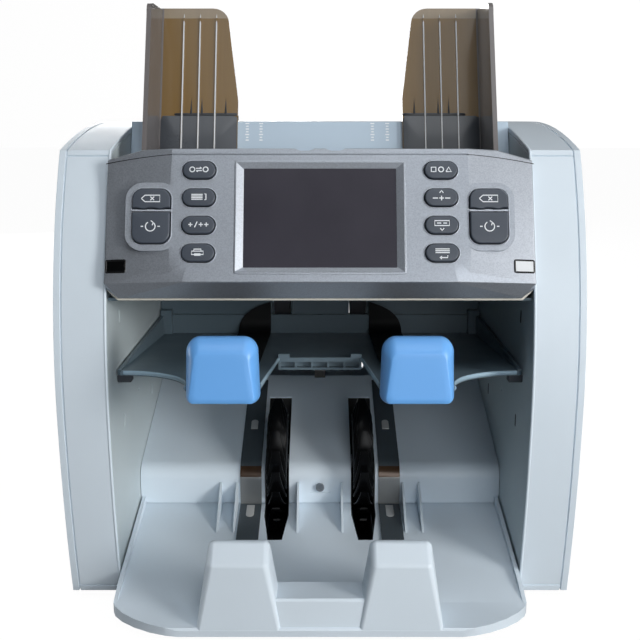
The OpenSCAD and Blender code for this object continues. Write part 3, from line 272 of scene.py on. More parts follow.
def wire(shader, **sockets):
    """Sets or links the sockets of a shader; a name's underscores are spaces."""
    for name, value in sockets.items():
        socket = shader.inputs[name.replace("_", " ")]
        if isinstance(value, Shade):
            value.tree.links.new(value.socket, socket)
        else:
            socket.default_value = value


def noise(spot, scale, detail=2.0):
    """Soft noise from 0 to 1, scale cells to the metre."""
    return spot.node("TexNoise", {}, {"Vector": spot, "Scale": scale, "Detail": detail})


def bump(height, distance):
    """Normal raised by a height from 0 to 1 over a distance in metres."""
    return height.node("Bump", {}, {"Height": height, "Distance": distance, "Strength": 1.0})


def streaks(spot, scale, detail=3.0):
    """Noise drawn out along an axis; scale gives its cells to the metre on X, Y and Z."""
    drawn = spot.node("Mapping", {}, {"Vector": spot, "Scale": scale})
    return noise(drawn, 1.0, detail)


def shaded(rgb, factor):
    """A darker or lighter copy of a colour."""
    return tuple(min(1.0, part * factor) for part in rgb)


def drifting(tone, rgb, low, high):
    """A colour between two shades of itself, by a tone from 0 to 1."""
    return tone.mix(shaded(rgb, low), shaded(rgb, high))


def moulded(name, rgb, rough, grain=0.00003, coat=0.0, mottle=0.07, shine=0.5):
    """Moulded plastic: spark-eroded grain, slow tone drift and handling sheen."""
    _, shader, spot = new_material(name)
    drift = noise(spot, 14.0, 3.0)
    grit = noise(spot, 2600.0)
    polish = noise(spot, 55.0, 4.0)
    wire(
        shader,
        Base_Color=drifting(drift, rgb, 1 - mottle, 1 + mottle),
        Roughness=rough + 0.16 * (polish - 0.5) + 0.08 * (grit - 0.5),
        Normal=bump(grit, grain),
        Coat_Weight=coat,
        Coat_Roughness=0.08,
        Specular_IOR_Level=shine,
    )


def metallic_paint(name, rgb, metal):
    """Silver paint: fine flakes that catch the light under a thin clear coat."""
    _, shader, spot = new_material(name)
    flake = spot.node("TexVoronoi", {}, {"Vector": spot, "Scale": 2200.0}, "Color")
    spark = flake.node("SeparateColor", {}, {"Color": flake})
    drift = noise(spot, 18.0, 3.0)
    tone = 0.55 * spark + 0.45 * drift
    wire(
        shader,
        Base_Color=drifting(tone, rgb, 0.82, 1.16),
        Metallic=metal,
        Roughness=0.42 + 0.14 * (spark - 0.5),
        Normal=bump(noise(spot, 1500.0), 0.00002),
        Coat_Weight=0.15,
        Coat_Roughness=0.2,
    )


def brushed_steel(name, rgb, rough, streak):
    """Bare steel with fine streaks along one axis; streak is the noise scale on X, Y and Z."""
    _, shader, spot = new_material(name)
    hairline = streaks(spot, streak)
    smear = noise(spot, 40.0, 3.0)
    wire(
        shader,
        Base_Color=drifting(hairline, rgb, 0.86, 1.1),
        Metallic=1.0,
        Roughness=rough + 0.1 * (hairline - 0.5) + 0.12 * (smear - 0.5),
        Normal=bump(hairline, 0.00001),
    )


def axis(spot, name):
    """One of a point's coordinates in metres."""
    return spot.node("SeparateXYZ", {}, {"Vector": spot}, name)


def seen(start):
    """Three values that are 1 where the eye, clear plastic and a reflection look, in that order."""
    kinds = ("Is Camera Ray", "Is Transmission Ray", "Is Glossy Ray")
    return [start.node("LightPath", {}, {}, kind) for kind in kinds]


def smoked_clear(name, rgb, border, flange, top, edge):
    """Tinted clear plastic: glossy, with faint drawn streaks; paler in the border above top, and
    greyer in the flange, which is seen edge on, from edge outwards."""
    _, shader, spot = new_material(name)
    cloud = noise(spot, 9.0, 2.0)
    streak = streaks(spot, (420.0, 12.0, 5.0), 2.0)
    tone = 0.5 * cloud + 0.5 * streak
    side = axis(spot, "X")
    far = side.math("ABSOLUTE", side, 0.0) > edge
    middle, rim, end = (drifting(tone, part, 0.84, 1.16) for part in (rgb, border, flange))
    wire(
        shader,
        Base_Color=far.mix((axis(spot, "Z") > top).mix(middle, rim), end),
        Roughness=0.14 + 0.08 * streak,
        Alpha=0.94 + 0.05 * (cloud - 0.5),
        Normal=bump(streak, 0.000004),
        Coat_Weight=0.1,
        Coat_Roughness=0.06,
        Specular_IOR_Level=0.3,
    )


def banded_film(name, film, bend, plate):
    """Satin film on the stacker strips: a brown bar over the nose's bend, which is a painted
    reflection, and a grey plate below it. Both lie between two heights in metres."""
    plate_low, bar_low, bar_top = 0.0276, 0.0436, 0.0492
    _, shader, spot = new_material(name)
    high = axis(spot, "Z")
    drawn = streaks(spot, (900.0, 40.0, 40.0))
    smear = noise(spot, 60.0, 3.0)
    tone = 0.6 * smear + 0.4 * drawn
    # painted reflection: the brown bar stands for warm light mirrored in the strip's bend
    bar = (high > bar_low) * (1 - (high > bar_top))
    sheet = (high > plate_low) * (1 - (high > bar_low))
    upper = bar.mix(drifting(tone, film, 0.85, 1.2), drifting(tone, bend, 0.5, 1.0))
    wire(
        shader,
        Base_Color=sheet.mix(upper, drifting(tone, plate, 0.9, 1.0)),
        Metallic=0.25 + 0.3 * sheet,
        Roughness=0.24 + 0.16 * (tone - 0.5) + 0.12 * sheet,
        Normal=bump(drawn, 0.000005),
    )


def two_sided(name, left, right, rough):
    """One colour on the machine's left half and another on its right half."""
    _, shader, spot = new_material(name)
    side = axis(spot, "X") > 0.0
    dust = noise(spot, 400.0, 3.0)
    wire(
        shader,
        Base_Color=side.mix(left, drifting(dust, right, 0.92, 1.0)),
        Roughness=rough + 0.1 * dust,
        Coat_Weight=0.3,
    )


def dark_glass(name, rgb):
    """Switched-off display: dark sheet under glass with a faint smudge."""
    _, shader, spot = new_material(name)
    smudge = noise(spot, 35.0, 4.0)
    pixel = spot.node("TexVoronoi", {}, {"Vector": spot, "Scale": 4500.0}, "Distance")
    wire(
        shader,
        Base_Color=drifting(0.7 * smudge + 0.3 * pixel, rgb, 0.7, 1.3),
        Roughness=0.12 + 0.14 * smudge,
        Coat_Weight=0.6,
        Coat_Roughness=0.04,
    )


def rubber_like(name, rgb):
    """Matt rubber with a dusty bloom."""
    _, shader, spot = new_material(name)
    bloom = noise(spot, 60.0, 4.0)
    pore = noise(spot, 1800.0)
    wire(
        shader,
        Base_Color=drifting(bloom, rgb, 1.0, 1.9),
        Roughness=0.72 + 0.2 * (pore - 0.5),
        Normal=bump(pore, 0.00004),
    )


def lacquered_board(name, rgb):
    """Circuit board: copper runs seen through green lacquer."""
    _, shader, spot = new_material(name)
    run = spot.node("TexBrick", {}, {"Vector": spot, "Scale": 120.0}, "Fac")
    wire(
        shader,
        Base_Color=drifting(run, rgb, 1.0, 1.7),
        Roughness=0.3 + 0.1 * noise(spot, 90.0),
        Normal=bump(run, 0.00003),
    )


def finishes():
    """Every finish by name, made once from the colour properties."""
    c = bpy.context.scene.counter_colours
    fine, mirror = 0.00001, 0.000005  # grain of painted and of glossy faces
    border_from, flange_from = 0.3015, 0.0875  # height and distance from the middle
    along_y, along_z = (60.0, 900.0, 60.0), (60.0, 60.0, 2400.0)
    if "white plastic" not in bpy.data.materials:
        moulded("white plastic", c.white, 0.42)
        moulded("inner wall paint", c.inner, 0.4, fine)
        metallic_paint("console paint", c.silver, 0.72)
        # painted highlight: a lighter, less metallic copy of the console paint for the screen's frame,
        # the key rims and the pair bars
        metallic_paint("trim lightened for highlights", shaded(c.silver, 1.25), 0.35)
        moulded("key plastic", c.key, 0.38)
        moulded("printed marks", c.mark, 0.6, fine)
        dark_glass("screen glass", c.screen)
        smoked_clear("smoked plastic", c.smoke, c.border, c.flange, border_from, flange_from)
        # painted highlight: near-white crests stand for light caught on the guides' clear ribs
        moulded("rib crest highlight", shaded(c.mark, 0.8), 0.25, fine, coat=0.3)
        moulded("shadow plastic", shaded(c.foot, 0.35), 0.4)
        moulded("foot plastic", c.foot, 0.3, fine)
        moulded("hopper plastic", c.hopper, 0.38)
        moulded("tray plastic", c.tray, 0.36)
        # painted highlight: the tray's rim bead is the tray colour lightened 2.4 times
        moulded("tray rim highlight", shaded(c.tray, 2.4), 0.4)
        moulded("band film", shaded(c.black, 0.7), 0.62, fine, mottle=0.3, shine=0.3)
        moulded("gloss black", shaded(c.black, 0.5), 0.24, mirror, mottle=0.3, shine=0.12)
        # black for the console's seams, and painted shade in the wall slots and the wheel slots
        moulded("seam and shade black", shaded(c.black, 0.5), 0.5)
        moulded("black plastic", c.black, 0.2, fine, coat=0.5, mottle=0.3)
        moulded("pan edge", c.pan, 0.4)
        moulded("tab plastic", shaded(c.plate, 1.5), 0.35)
        moulded("lip plastic", c.lip, 0.36, mottle=0.04)
        brushed_steel("plated blades", shaded(c.steel, 1.4), 0.25, along_y)
        brushed_steel("brushed steel", c.steel, 0.34, along_z)
        # the strips' film carries a painted reflection: a brown bar over the bend
        banded_film("strip film with painted reflection", c.film, c.bend, c.plate)
        two_sided("indicator glass", shaded(c.black, 0.4), c.mark, 0.12)
        rubber_like("rubber", c.rubber)
        lacquered_board("circuit board", c.board)
    return bpy.data.materials


def smooth_group():
    """Geometry nodes that shade smooth, and keep edges over 35 degrees sharp."""
    if "smooth rounds" in bpy.data.node_groups:
        return bpy.data.node_groups["smooth rounds"]
    group = bpy.data.node_groups.new("smooth rounds", "GeometryNodeTree")
    group.interface.new_socket("Mesh", in_out="INPUT", socket_type="NodeSocketGeometry")
    group.interface.new_socket("Mesh", in_out="OUTPUT", socket_type="NodeSocketGeometry")
    entry = group.nodes.new("NodeGroupInput")
    leave = group.nodes.new("NodeGroupOutput")
    faces = group.nodes.new("GeometryNodeSetShadeSmooth")
    edges = group.nodes.new("GeometryNodeSetShadeSmooth")
    edges.domain = "EDGE"
    edges.inputs["Shade Smooth"].default_value = False
    angle = group.nodes.new("GeometryNodeInputMeshEdgeAngle")
    sharp = group.nodes.new("FunctionNodeCompare")
    sharp.inputs[1].default_value = math.radians(35)
    join = group.links.new
    join(entry.outputs[0], faces.inputs["Geometry"])
    join(faces.outputs[0], edges.inputs["Geometry"])
    join(angle.outputs["Unsigned Angle"], sharp.inputs[0])
    join(sharp.outputs[0], edges.inputs["Selection"])
    join(edges.outputs[0], leave.inputs[0])
    return group


def dress(node, finish, edge):
    """Gives a construction node its finish and rounds its edges with live modifiers."""
    obj = NODES[node]
    obj.data.materials.clear()
    obj.data.materials.append(finishes()[finish])
    weld = obj.modifiers.new("weld", "WELD")
    weld.merge_threshold = NEAR
    if edge > 0:
        flat = obj.modifiers.new("flat faces", "DECIMATE")
        flat.decimate_type = "DISSOLVE"
        flat.angle_limit = math.radians(0.4)
        soft = obj.modifiers.new("soft edges", "BEVEL")
        soft.width = edge
        soft.segments = 3
        soft.limit_method = "ANGLE"
        soft.angle_limit = math.radians(38)
        soft.use_clamp_overlap = True
    smooth = obj.modifiers.new("smooth rounds", "NODES")
    smooth.node_group = smooth_group()
    even = obj.modifiers.new("even shading", "WEIGHTED_NORMAL")
    even.keep_sharp = True


def quads(count, rows, cols):
    """Corner numbers of the faces of count grids, each rows by cols, closed round the columns."""
    r = np.arange(rows - 1)[:, None]
    c = np.arange(cols)[None, :]
    n = (c + 1) % cols
    one = np.stack([r * cols + c, r * cols + n, (r + 1) * cols + n, (r + 1) * cols + c], -1)
    start = np.arange(count)[:, None, None] * rows * cols
    return (one.reshape(1, -1, 4) + start).reshape(-1, 4)


def add_piece(name, grids, body, finish, replaced=(), sharp=40):
    """A piece from a list of point grids, each (rows, columns, 3) or (count, rows, columns, 3)."""
    points, faces, total = [], [], 0
    for grid in grids:
        grid = grid if grid.ndim == 4 else grid[None]
        points.append(grid.reshape(-1, 3))
        faces.append(quads(*grid.shape[:3]) + total)
        total += len(points[-1])
    mesh = bpy.data.meshes.new(name)
    mesh.from_pydata(np.concatenate(points).tolist(), [], np.concatenate(faces).tolist())
    work = bmesh.new()
    work.from_mesh(mesh)
    bmesh.ops.remove_doubles(work, verts=work.verts, dist=WELD)
    bmesh.ops.dissolve_degenerate(work, edges=work.edges, dist=WELD)
    bmesh.ops.recalc_face_normals(work, faces=work.faces)
    work.to_mesh(mesh)
    work.free()
    mesh.polygons.foreach_set("use_smooth", np.ones(len(mesh.polygons), bool))
    mesh.set_sharp_from_angle(angle=math.radians(sharp))
    obj = bpy.data.objects.new(name, mesh)
    bpy.context.scene.collection.objects.link(obj)
    mesh.materials.append(finishes()[finish])
    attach(obj, body)
    if replaced:
        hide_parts(*replaced)


def resample(loop, count):
    """Closed loop walked at even steps of its length."""
    closed = np.vstack([loop, loop[:1]])
    walk = np.concatenate([[0], np.cumsum(np.linalg.norm(np.diff(closed, axis=0), axis=1))])
    want = np.linspace(0, walk[-1], count, endpoint=False)
    return np.stack([np.interp(want, walk, part) for part in closed.T], -1)


def rounded_loop(low, high, radii, steps=12):
    """Rectangle from corner low to corner high with one radius, or its own at each corner, from the
    lower left one round: every corner is r * (cos a, sin a) about a middle r inside both sides."""
    radii = np.broadcast_to(radii, 4)
    turn = np.linspace(0, math.pi / 2, steps)
    parts = []
    for k, (right, top) in enumerate(((0, 0), (1, 0), (1, 1), (0, 1))):
        corner = np.array([high[0] if right else low[0], high[1] if top else low[1]])
        middle = corner - radii[k] * np.array([2 * right - 1, 2 * top - 1])
        a = turn + math.pi * (1 + k / 2)
        parts.append(middle + radii[k] * np.stack([np.cos(a), np.sin(a)], -1))
    return np.concatenate(parts)


def ellipse(wide, tall, steps):
    """Closed ellipse about the origin, (wide * cos a, tall * sin a)."""
    a = np.linspace(0, 2 * math.pi, steps, endpoint=False)
    return np.stack([wide * np.cos(a), tall * np.sin(a)], -1)


def outward(loop):
    """Unit normals of a closed loop walked anticlockwise."""
    tangent = np.roll(loop, -1, 0) - np.roll(loop, 1, 0)
    normal = np.stack([tangent[:, 1], -tangent[:, 0]], -1)
    return normal / np.linalg.norm(normal, axis=1, keepdims=True)


def with_height(loop, height):
    """Plane points with a third coordinate."""
    return np.concatenate([loop, np.broadcast_to(np.reshape(height, (-1, 1)), (len(loop), 1))], -1)


def capped(outer, inner, skirt, depth, power=2.0, crown=0.0, bands=10, rings=6):
    """Closed cap: a straight skirt below outer, a band that leans from outer to inner along a
    superellipse, in = 1 - cos(a)^(2/p) and up = sin(a)^(2/p), and a top that closes to its middle
    with a crown of 1 - k squared. depth may be a function of the second coordinate."""
    angle = np.linspace(0, math.pi / 2, bands)
    lean = 1 - np.cos(angle) ** (2 / power)
    lift = np.sin(angle) ** (2 / power)
    tall = depth if callable(depth) else lambda v: np.full(len(v), depth)
    foot = np.broadcast_to(outer.mean(0), outer.shape)
    rows = [with_height(foot, -skirt), with_height(outer, -skirt)]
    for part, rise in zip(lean, lift):
        loop = outer + (inner - outer) * part
        rows.append(with_height(loop, tall(loop[:, 1]) * rise))
    for k in np.linspace(1, 0, rings)[1:]:
        loop = inner.mean(0) + (inner - inner.mean(0)) * k
        rows.append(with_height(loop, tall(loop[:, 1]) + crown * (1 - k * k)))
    return np.stack(rows)


def soft_bar(loop, skirt, inset, depth):
    """A bar that stands on a plane outline, with its end drawn in by inset over depth."""
    return capped(loop, loop - outward(loop) * inset, skirt, depth, bands=5, rings=3)


def ring(loop, profile, height):
    """Closed profile, rows of (outward, up), carried round a closed loop at a height."""
    normal = outward(loop)
    closed = [*profile, profile[0]]
    return np.stack([with_height(loop + normal * out, height + rise) for out, rise in closed])


def bead(width, tall):
    """Half-round profile of a bead: an arch of an ellipse over a sunk foot."""
    a = np.linspace(0, math.pi, 9)
    arch = np.stack([width / 2 * np.cos(a), tall * np.sin(a)], -1)
    return np.concatenate([arch, [[-width / 2, -tall], [width / 2, -tall]]])


def closed_ends(grid):
    """A grid, or several, with a row before the first and after the last, drawn in to its middle."""
    ends = [grid[..., :1, :, :], grid[..., -1:, :, :]]
    first, last = (np.broadcast_to(end.mean(-2, keepdims=True), end.shape) for end in ends)
    return np.concatenate([first, grid, last], -3)


def sweep(path, across, up, profile, scale=None):
    """Closed profile, rows of (across, up), carried along an open path; both ends are closed. The
    section at step i is path[i] + scale[i] * (a * across[i] + b * up[i]), and across and up may be
    one direction for the whole path."""
    across, up = (np.broadcast_to(part, path.shape) for part in (across, up))
    scale = np.ones(len(path)) if scale is None else scale
    a, b = np.array(profile).T
    body = path[:, None] + scale[:, None, None] * (
        a[None, :, None] * across[:, None] + b[None, :, None] * up[:, None]
    )
    return closed_ends(body)


def tangents(path):
    """Unit directions along a path."""
    step = np.gradient(path, axis=0)
    return step / np.linalg.norm(step, axis=1, keepdims=True)


def place(points, axes, origin=(0.0, 0.0, 0.0)):
    """Local points moved to origin, with the rows of axes as the local directions."""
    return np.array(origin) + points @ np.array(axes)


def corners(node):
    """Every corner point of a construction node."""
    mesh = NODES[node].data
    flat = np.empty(len(mesh.vertices) * 3)
    mesh.vertices.foreach_get("co", flat)
    return flat.reshape(-1, 3)


def top_outline(node, axes, count):
    """Outline of a node's face that lies furthest along the last axis, and its height there."""
    local = corners(node) @ np.array(axes).T
    height = local[:, 2].max()
    rim = np.unique(np.round(local[local[:, 2] > height - NEAR, :2], 7), axis=0)
    middle = (rim.min(0) + rim.max(0)) / 2
    order = np.argsort(np.arctan2(rim[:, 1] - middle[1], rim[:, 0] - middle[0]))
    return resample(rim[order], count), height


INTO_FACE = np.array(JOINTS["key_left_1_press"]["axis"])
CONSOLE_AXES = np.array([[1.0, 0.0, 0.0], np.cross([1.0, 0.0, 0.0], INTO_FACE), -INTO_FACE])


def line(*points):
    """A stroke through points given in millimetres."""
    return np.array(points) * MM


def arc(x, y, radius, start, stop, steps=20):
    """A round stroke in millimetres, angles in degrees."""
    a = np.radians(np.linspace(start, stop, steps))
    return np.stack([x + radius * np.cos(a), y + radius * np.sin(a)], -1) * MM


def box_stroke(x, y, w, h):
    """A rectangular stroke about its middle, in millimetres."""
    return line(
        (x, y - h / 2), (x + w / 2, y - h / 2), (x + w / 2, y + h / 2), (x - w / 2, y + h / 2),
        (x - w / 2, y - h / 2), (x, y - h / 2),
    )


def cross_strokes(x, y, reach):
    """A plus sign."""
    return [line((x - reach, y), (x + reach, y)), line((x, y - reach), (x, y + reach))]


SYMBOLS = {
    "key_left_1": [
        arc(-3.2, 0, 1.2, 0, 360), line((-1.4, 0.5), (1.2, 0.5)), line((0.5, 1.1), (1.3, 0.5)),
        line((1.4, -0.6), (-1.2, -0.6)), line((-0.5, -1.2), (-1.3, -0.6)), arc(3.2, 0, 1.2, 0, 360),
    ],
    "key_left_2": [
        line((-3.4, 1.2), (2.0, 1.2)), line((-3.4, 0.4), (2.0, 0.4)), line((-3.4, -0.4), (2.0, -0.4)),
        line((-3.4, -1.2), (2.0, -1.2)), line((2.9, 1.4), (3.6, 1.4), (3.6, -1.4), (2.9, -1.4)),
    ],
    "key_left_3": [
        *cross_strokes(-3.6, 0, 1.0), line((-1.6, -1.4), (-0.4, 1.4)),
        *cross_strokes(1.4, 0, 1.0), *cross_strokes(4.0, 0, 1.0),
    ],
    "key_left_4": [
        box_stroke(0, -0.2, 5.6, 1.6), line((-1.7, 0.6), (-1.7, 1.6), (1.7, 1.6), (1.7, 0.6)),
        line((-1.5, -0.7), (1.5, -0.7)), line((-1.5, -1.4), (1.5, -1.4)),
    ],
    "key_right_1": [
        box_stroke(-3.6, 0, 2.2, 2.2), arc(0, 0, 1.2, 0, 360),
        line((2.4, -1.1), (4.9, -1.1), (3.65, 1.2), (2.4, -1.1)),
    ],
    "key_right_2": [
        line((-0.9, 2.0), (0, 3.1), (0.9, 2.0)), line((-4.2, -0.6), (-1.7, -0.6)),
        *cross_strokes(0, -0.6, 1.1), line((1.7, -0.6), (4.2, -0.6)),
    ],
    "key_right_3": [
        box_stroke(0, 0.7, 7.0, 2.4), line((-2.4, 0.7), (-0.4, 0.7)), line((0.6, 0.7), (2.4, 0.7)),
        line((-0.9, -1.8), (0, -2.9), (0.9, -1.8)),
    ],
    "key_right_4": [
        line((-3.4, 1.7), (3.4, 1.7)), line((-3.4, 0.8), (3.4, 0.8)), line((-3.4, -0.1), (3.4, -0.1)),
        line((2.4, -1.4), (2.4, -2.5), (-1.2, -2.5)), line((-0.4, -1.8), (-1.3, -2.5), (-0.4, -3.2)),
    ],
    "clear": [
        line((-4.6, 0), (-2.9, 1.6), (4.2, 1.6), (4.2, -1.6), (-2.9, -1.6), (-4.6, 0)),
        line((-0.3, 0.9), (1.5, -0.9)), line((-0.3, -0.9), (1.5, 0.9)),
    ],
    "reset": [
        arc(0, 0.4, 2.3, 120, 420), line((0.2, 3.2), (1.3, 2.3), (0.9, 0.9)),
        line((-4.6, 0.4), (-3.4, 0.4)), line((3.4, 0.4), (4.6, 0.4)),
    ],
}


def strokes(paths, width, low, high):
    """Flat bars along plane strokes: a rectangle width wide, from low to high, carried along each."""
    profile = [(-0.5, 0), (0.5, 0), (0.5, 1), (-0.5, 1)]
    grids = []
    for path in paths:
        along = tangents(path)
        side = with_height(np.stack([-along[:, 1], along[:, 0]], -1), 0.0) * width
        grids.append(sweep(with_height(path, low), side, [0, 0, high - low], profile))
    return grids


class COUNTER_OT_housing(bpy.types.Operator):
    """Finish the covers, the base and the feet"""

    bl_idname = "counter.housing"
    bl_label = "Housing"

    # the right wall's slots, in millimetres behind its cover's front and over the floor
    slots = ((34, 146), (113, 83), (35, 89))

    def inlet_blades(self, s):
        """Plated sleeves over the inlet's three blades: rounded bars along Y."""
        low, high = box("power_inlet")
        middle = (low + high) / 2
        axes = [[-1, 0, 0], [0, 0, 1], [0, 1, 0]]
        half = np.array([s.blade_w, s.blade_h]) / 2
        rounding, tip = 0.0004, 0.0005
        bar = soft_bar(resample(rounded_loop(-half, half, rounding), 48), s.blade_len, rounding, tip)
        spots = ((-s.blade_gap, -s.blade_low), (0, s.blade_low), (s.blade_gap, -s.blade_low))
        depth = high[1] - s.blade_in
        grids = [place(bar, axes, [middle[0] + x, depth, middle[2] + z]) for x, z in spots]
        add_piece("inlet_blades", grids, "chassis", "plated blades")

    def tab_sleeves(self, s):
        """Dark sleeves over the tabs under the reject tray's front corners: rounded bars along Y."""
        axes = [[1, 0, 0], [0, 0, 1], [0, -1, 0]]
        rounding = 0.0006
        grids = []
        for side, node in ((-1, "side_frame_left"), (1, "side_frame_right")):
            points = corners(node) * [side, 1, 1]
            tab = points[points[:, 0] < points[:, 0].min() + NEAR]
            low, high = tab.min(0), tab.max(0)
            foot = low[[0, 2]] - s.tab_wrap
            head = high[[0, 2]] + [s.tab_w, s.tab_wrap]
            loop = resample(rounded_loop(foot, head, rounding), 64)
            bar = soft_bar(loop, high[1] - low[1], s.tab_wrap, s.tab_wrap)
            grids.append(place(bar, axes, [0, low[1], 0]) * [side, 1, 1])
        add_piece("tab_sleeves", grids, "chassis", "foot plastic")

    def slot_shade(self, s):
        """Painted shade in the right wall's three upright slots: dark pills along X, flush with the
        wall.
        """
        axes = [[0, -1, 0], [0, 0, 1], [-1, 0, 0]]
        outside = corners("side_frame_right")[:, 0].max()
        inside, front = box("side_cover_right")[0][:2]
        half = np.array([s.slot_w, s.slot_h]) / 2
        pill, inset, proud = s.slot_w * 0.49, 0.0001, 0.00004
        bar = soft_bar(resample(rounded_loop(-half, half, pill), 64), outside - inside, inset, proud)
        grids = [place(bar, axes, [inside, front + y * MM, z * MM]) for y, z in self.slots]
        # painted shade: the dark pills stand for the slots' shaded openings
        add_piece("slot_shade", grids, "chassis", "seam and shade black")

    def cover_edges(self, s):
        """Round inner edges of the side covers: a circle carried along the covers' outline, from the
        top over the front to the foot."""
        circle = ellipse(s.bead_r, s.bead_r, 16)
        grids = []
        for side, node in ((-1, "side_cover_left"), (1, "side_cover_right")):
            points = corners(node) * [side, 1, 1]
            face = points[points[:, 0] > points[:, 0].max() - NEAR, 1:]
            rim = np.unique(np.round(face, 7), axis=0)
            y, z = (rim - (rim.min(0) + rim.max(0)) / 2).T
            rim = rim[np.argsort(np.arctan2(z, y) % (2 * math.pi))]
            rim = rim[rim[:, 0] < s.bead_back]
            along = tangents(rim)
            inward = np.stack([-along[:, 1], along[:, 0]], -1)
            x = np.full((len(rim), 1), points[:, 0].min() + s.bead_in)
            path = np.hstack([x, rim + s.bead_in * inward])
            grids.append(sweep(path, [1.0, 0, 0], np.hstack([0 * x, inward]), circle) * [side, 1, 1])
        add_piece("cover_edges", grids, "chassis", "white plastic")

    def rocker_signs(self, s):
        """A bar on the rocker's lower face and a ring on its upper one: flat strokes on each face."""
        low, high = box("power_switch")
        x, middle = (low[0] + high[0]) / 2, (low[2] + high[2]) / 2
        depths = high[1] - np.array([0.0, *s.rocker_fall])
        edges = list(zip(depths, (low[2], middle, high[2])))
        signs = ([line((0, -1.5), (0, 1.5))], [arc(0, 0, 1.5, 0, 360)])
        sunk = 0.0002
        grids = []
        for (y0, z0), (y1, z1), paths in zip(edges, edges[1:], signs):
            run = math.hypot(y1 - y0, z1 - z0)
            up = np.array([0, (y1 - y0) / run, (z1 - z0) / run])
            axes = [[-1, 0, 0], up, [0, up[2], -up[1]]]
            bars = strokes(paths, s.mark_w, -sunk, s.mark_h)
            grids += [place(bar, axes, [x, (y0 + y1) / 2, (z0 + z1) / 2]) for bar in bars]
        add_piece("rocker_signs", grids, "rocker", "printed marks")

    def execute(self, context):
        s = context.scene.counter_sizes
        for node in ("side_cover_left", "side_cover_right", "rear_cover", "top_cover", "rear_door"):
            dress(node, "white plastic", s.edge if "side" in node else s.fine_edge)
        for node in ("side_frame_left", "side_frame_right"):
            dress(node, "inner wall paint", s.fine_edge)
        dress("base_plate", "brushed steel", s.fine_edge)
        dress("rubber_feet", "rubber", s.fine_edge)
        for node in ("power_inlet", "switch_housing", "power_switch"):
            dress(node, "black plastic", s.fine_edge)
        self.tab_sleeves(s)
        self.slot_shade(s)
        self.cover_edges(s)
        self.inlet_blades(s)
        self.rocker_signs(s)
        return {"FINISHED"}


class COUNTER_OT_console(bpy.types.Operator):
    """Finish the console, its screen and its windows"""

    bl_idname = "counter.console"
    bl_label = "Console"

    def end_axes(self, side, s):
        """Directions of a swept end: right along it, up, and out of it."""
        turn = side * math.radians(s.end_turn)
        right, up, out = CONSOLE_AXES
        return np.array([
            math.cos(turn) * right - math.sin(turn) * out,
            up,
            math.sin(turn) * right + math.cos(turn) * out,
        ])

    def window_frames(self, s):
        """Beads round both indicator windows: a half-round profile carried round each outline."""
        points = corners("indicator_windows")
        rounding, width, tall, sunk = 0.0004, 0.0009, 0.0003, 0.0001
        grids = []
        for side in (-1, 1):
            axes = self.end_axes(side, s)
            local = points[points[:, 0] * side > 0] @ axes.T
            low, high = local.min(0), local.max(0)
            loop = resample(rounded_loop(low[:2], high[:2], rounding), 80)
            grids.append(place(ring(loop, bead(width, tall), high[2] - sunk), axes))
        add_piece("window_frames", grids, "chassis", "black plastic")

    def seams(self, s):
        """Fine dark seams that carry the top seam down over both swept ends: they fall by a power of
        the way along."""
        loop, height = top_outline("key_left_1", CONSOLE_AXES, 96)
        level = (loop.min(0) + loop.max(0))[1] / 2 + s.seam_up
        half, sunk, proud, bow = 0.00018, 0.0003, 0.00003, 1.6
        profile = [(-half, -sunk), (half, -sunk), (half, proud), (-half, proud)]
        t = np.linspace(0, 1, 12)[:, None]
        grids = []
        for side in (-1, 1):
            right, up, out = self.end_axes(side, s)
            start = place(np.array([side * s.fold_x, level, height - s.key_proud]), CONSOLE_AXES)
            path = start + t * side * s.seam_len * right - t ** bow * s.seam_drop * up
            grids.append(sweep(path, up, out, profile))
        add_piece("console_seams", grids, "chassis", "seam and shade black")

    def screen_edge(self):
        """A half-round bead over the joint between the console and the screen's frame."""
        local = corners("display_bezel") @ CONSOLE_AXES.T
        low, high = local.min(0), local.max(0)
        rounding, width, tall, sunk = 0.0003, 0.0011, 0.00015, 0.00025
        loop = resample(rounded_loop(low[:2], high[:2], rounding), 160)
        grid = place(ring(loop, bead(width, tall), high[2] - sunk), CONSOLE_AXES)
        add_piece("screen_edge", [grid], "chassis", "console paint")

    def execute(self, context):
        s = context.scene.counter_sizes
        dress("console_shell", "console paint", 0)
        dress("console_pan", "pan edge", s.fine_edge)
        # painted highlight: the screen's frame takes the lighter copy of the console paint
        dress("display_bezel", "trim lightened for highlights", s.fine_edge)
        dress("display_panel", "screen glass", s.fine_edge)
        dress("indicator_windows", "indicator glass", s.fine_edge)
        dress("keypad_board", "circuit board", 0)
        self.window_frames(s)
        self.seams(s)
        self.screen_edge()
        return {"FINISHED"}


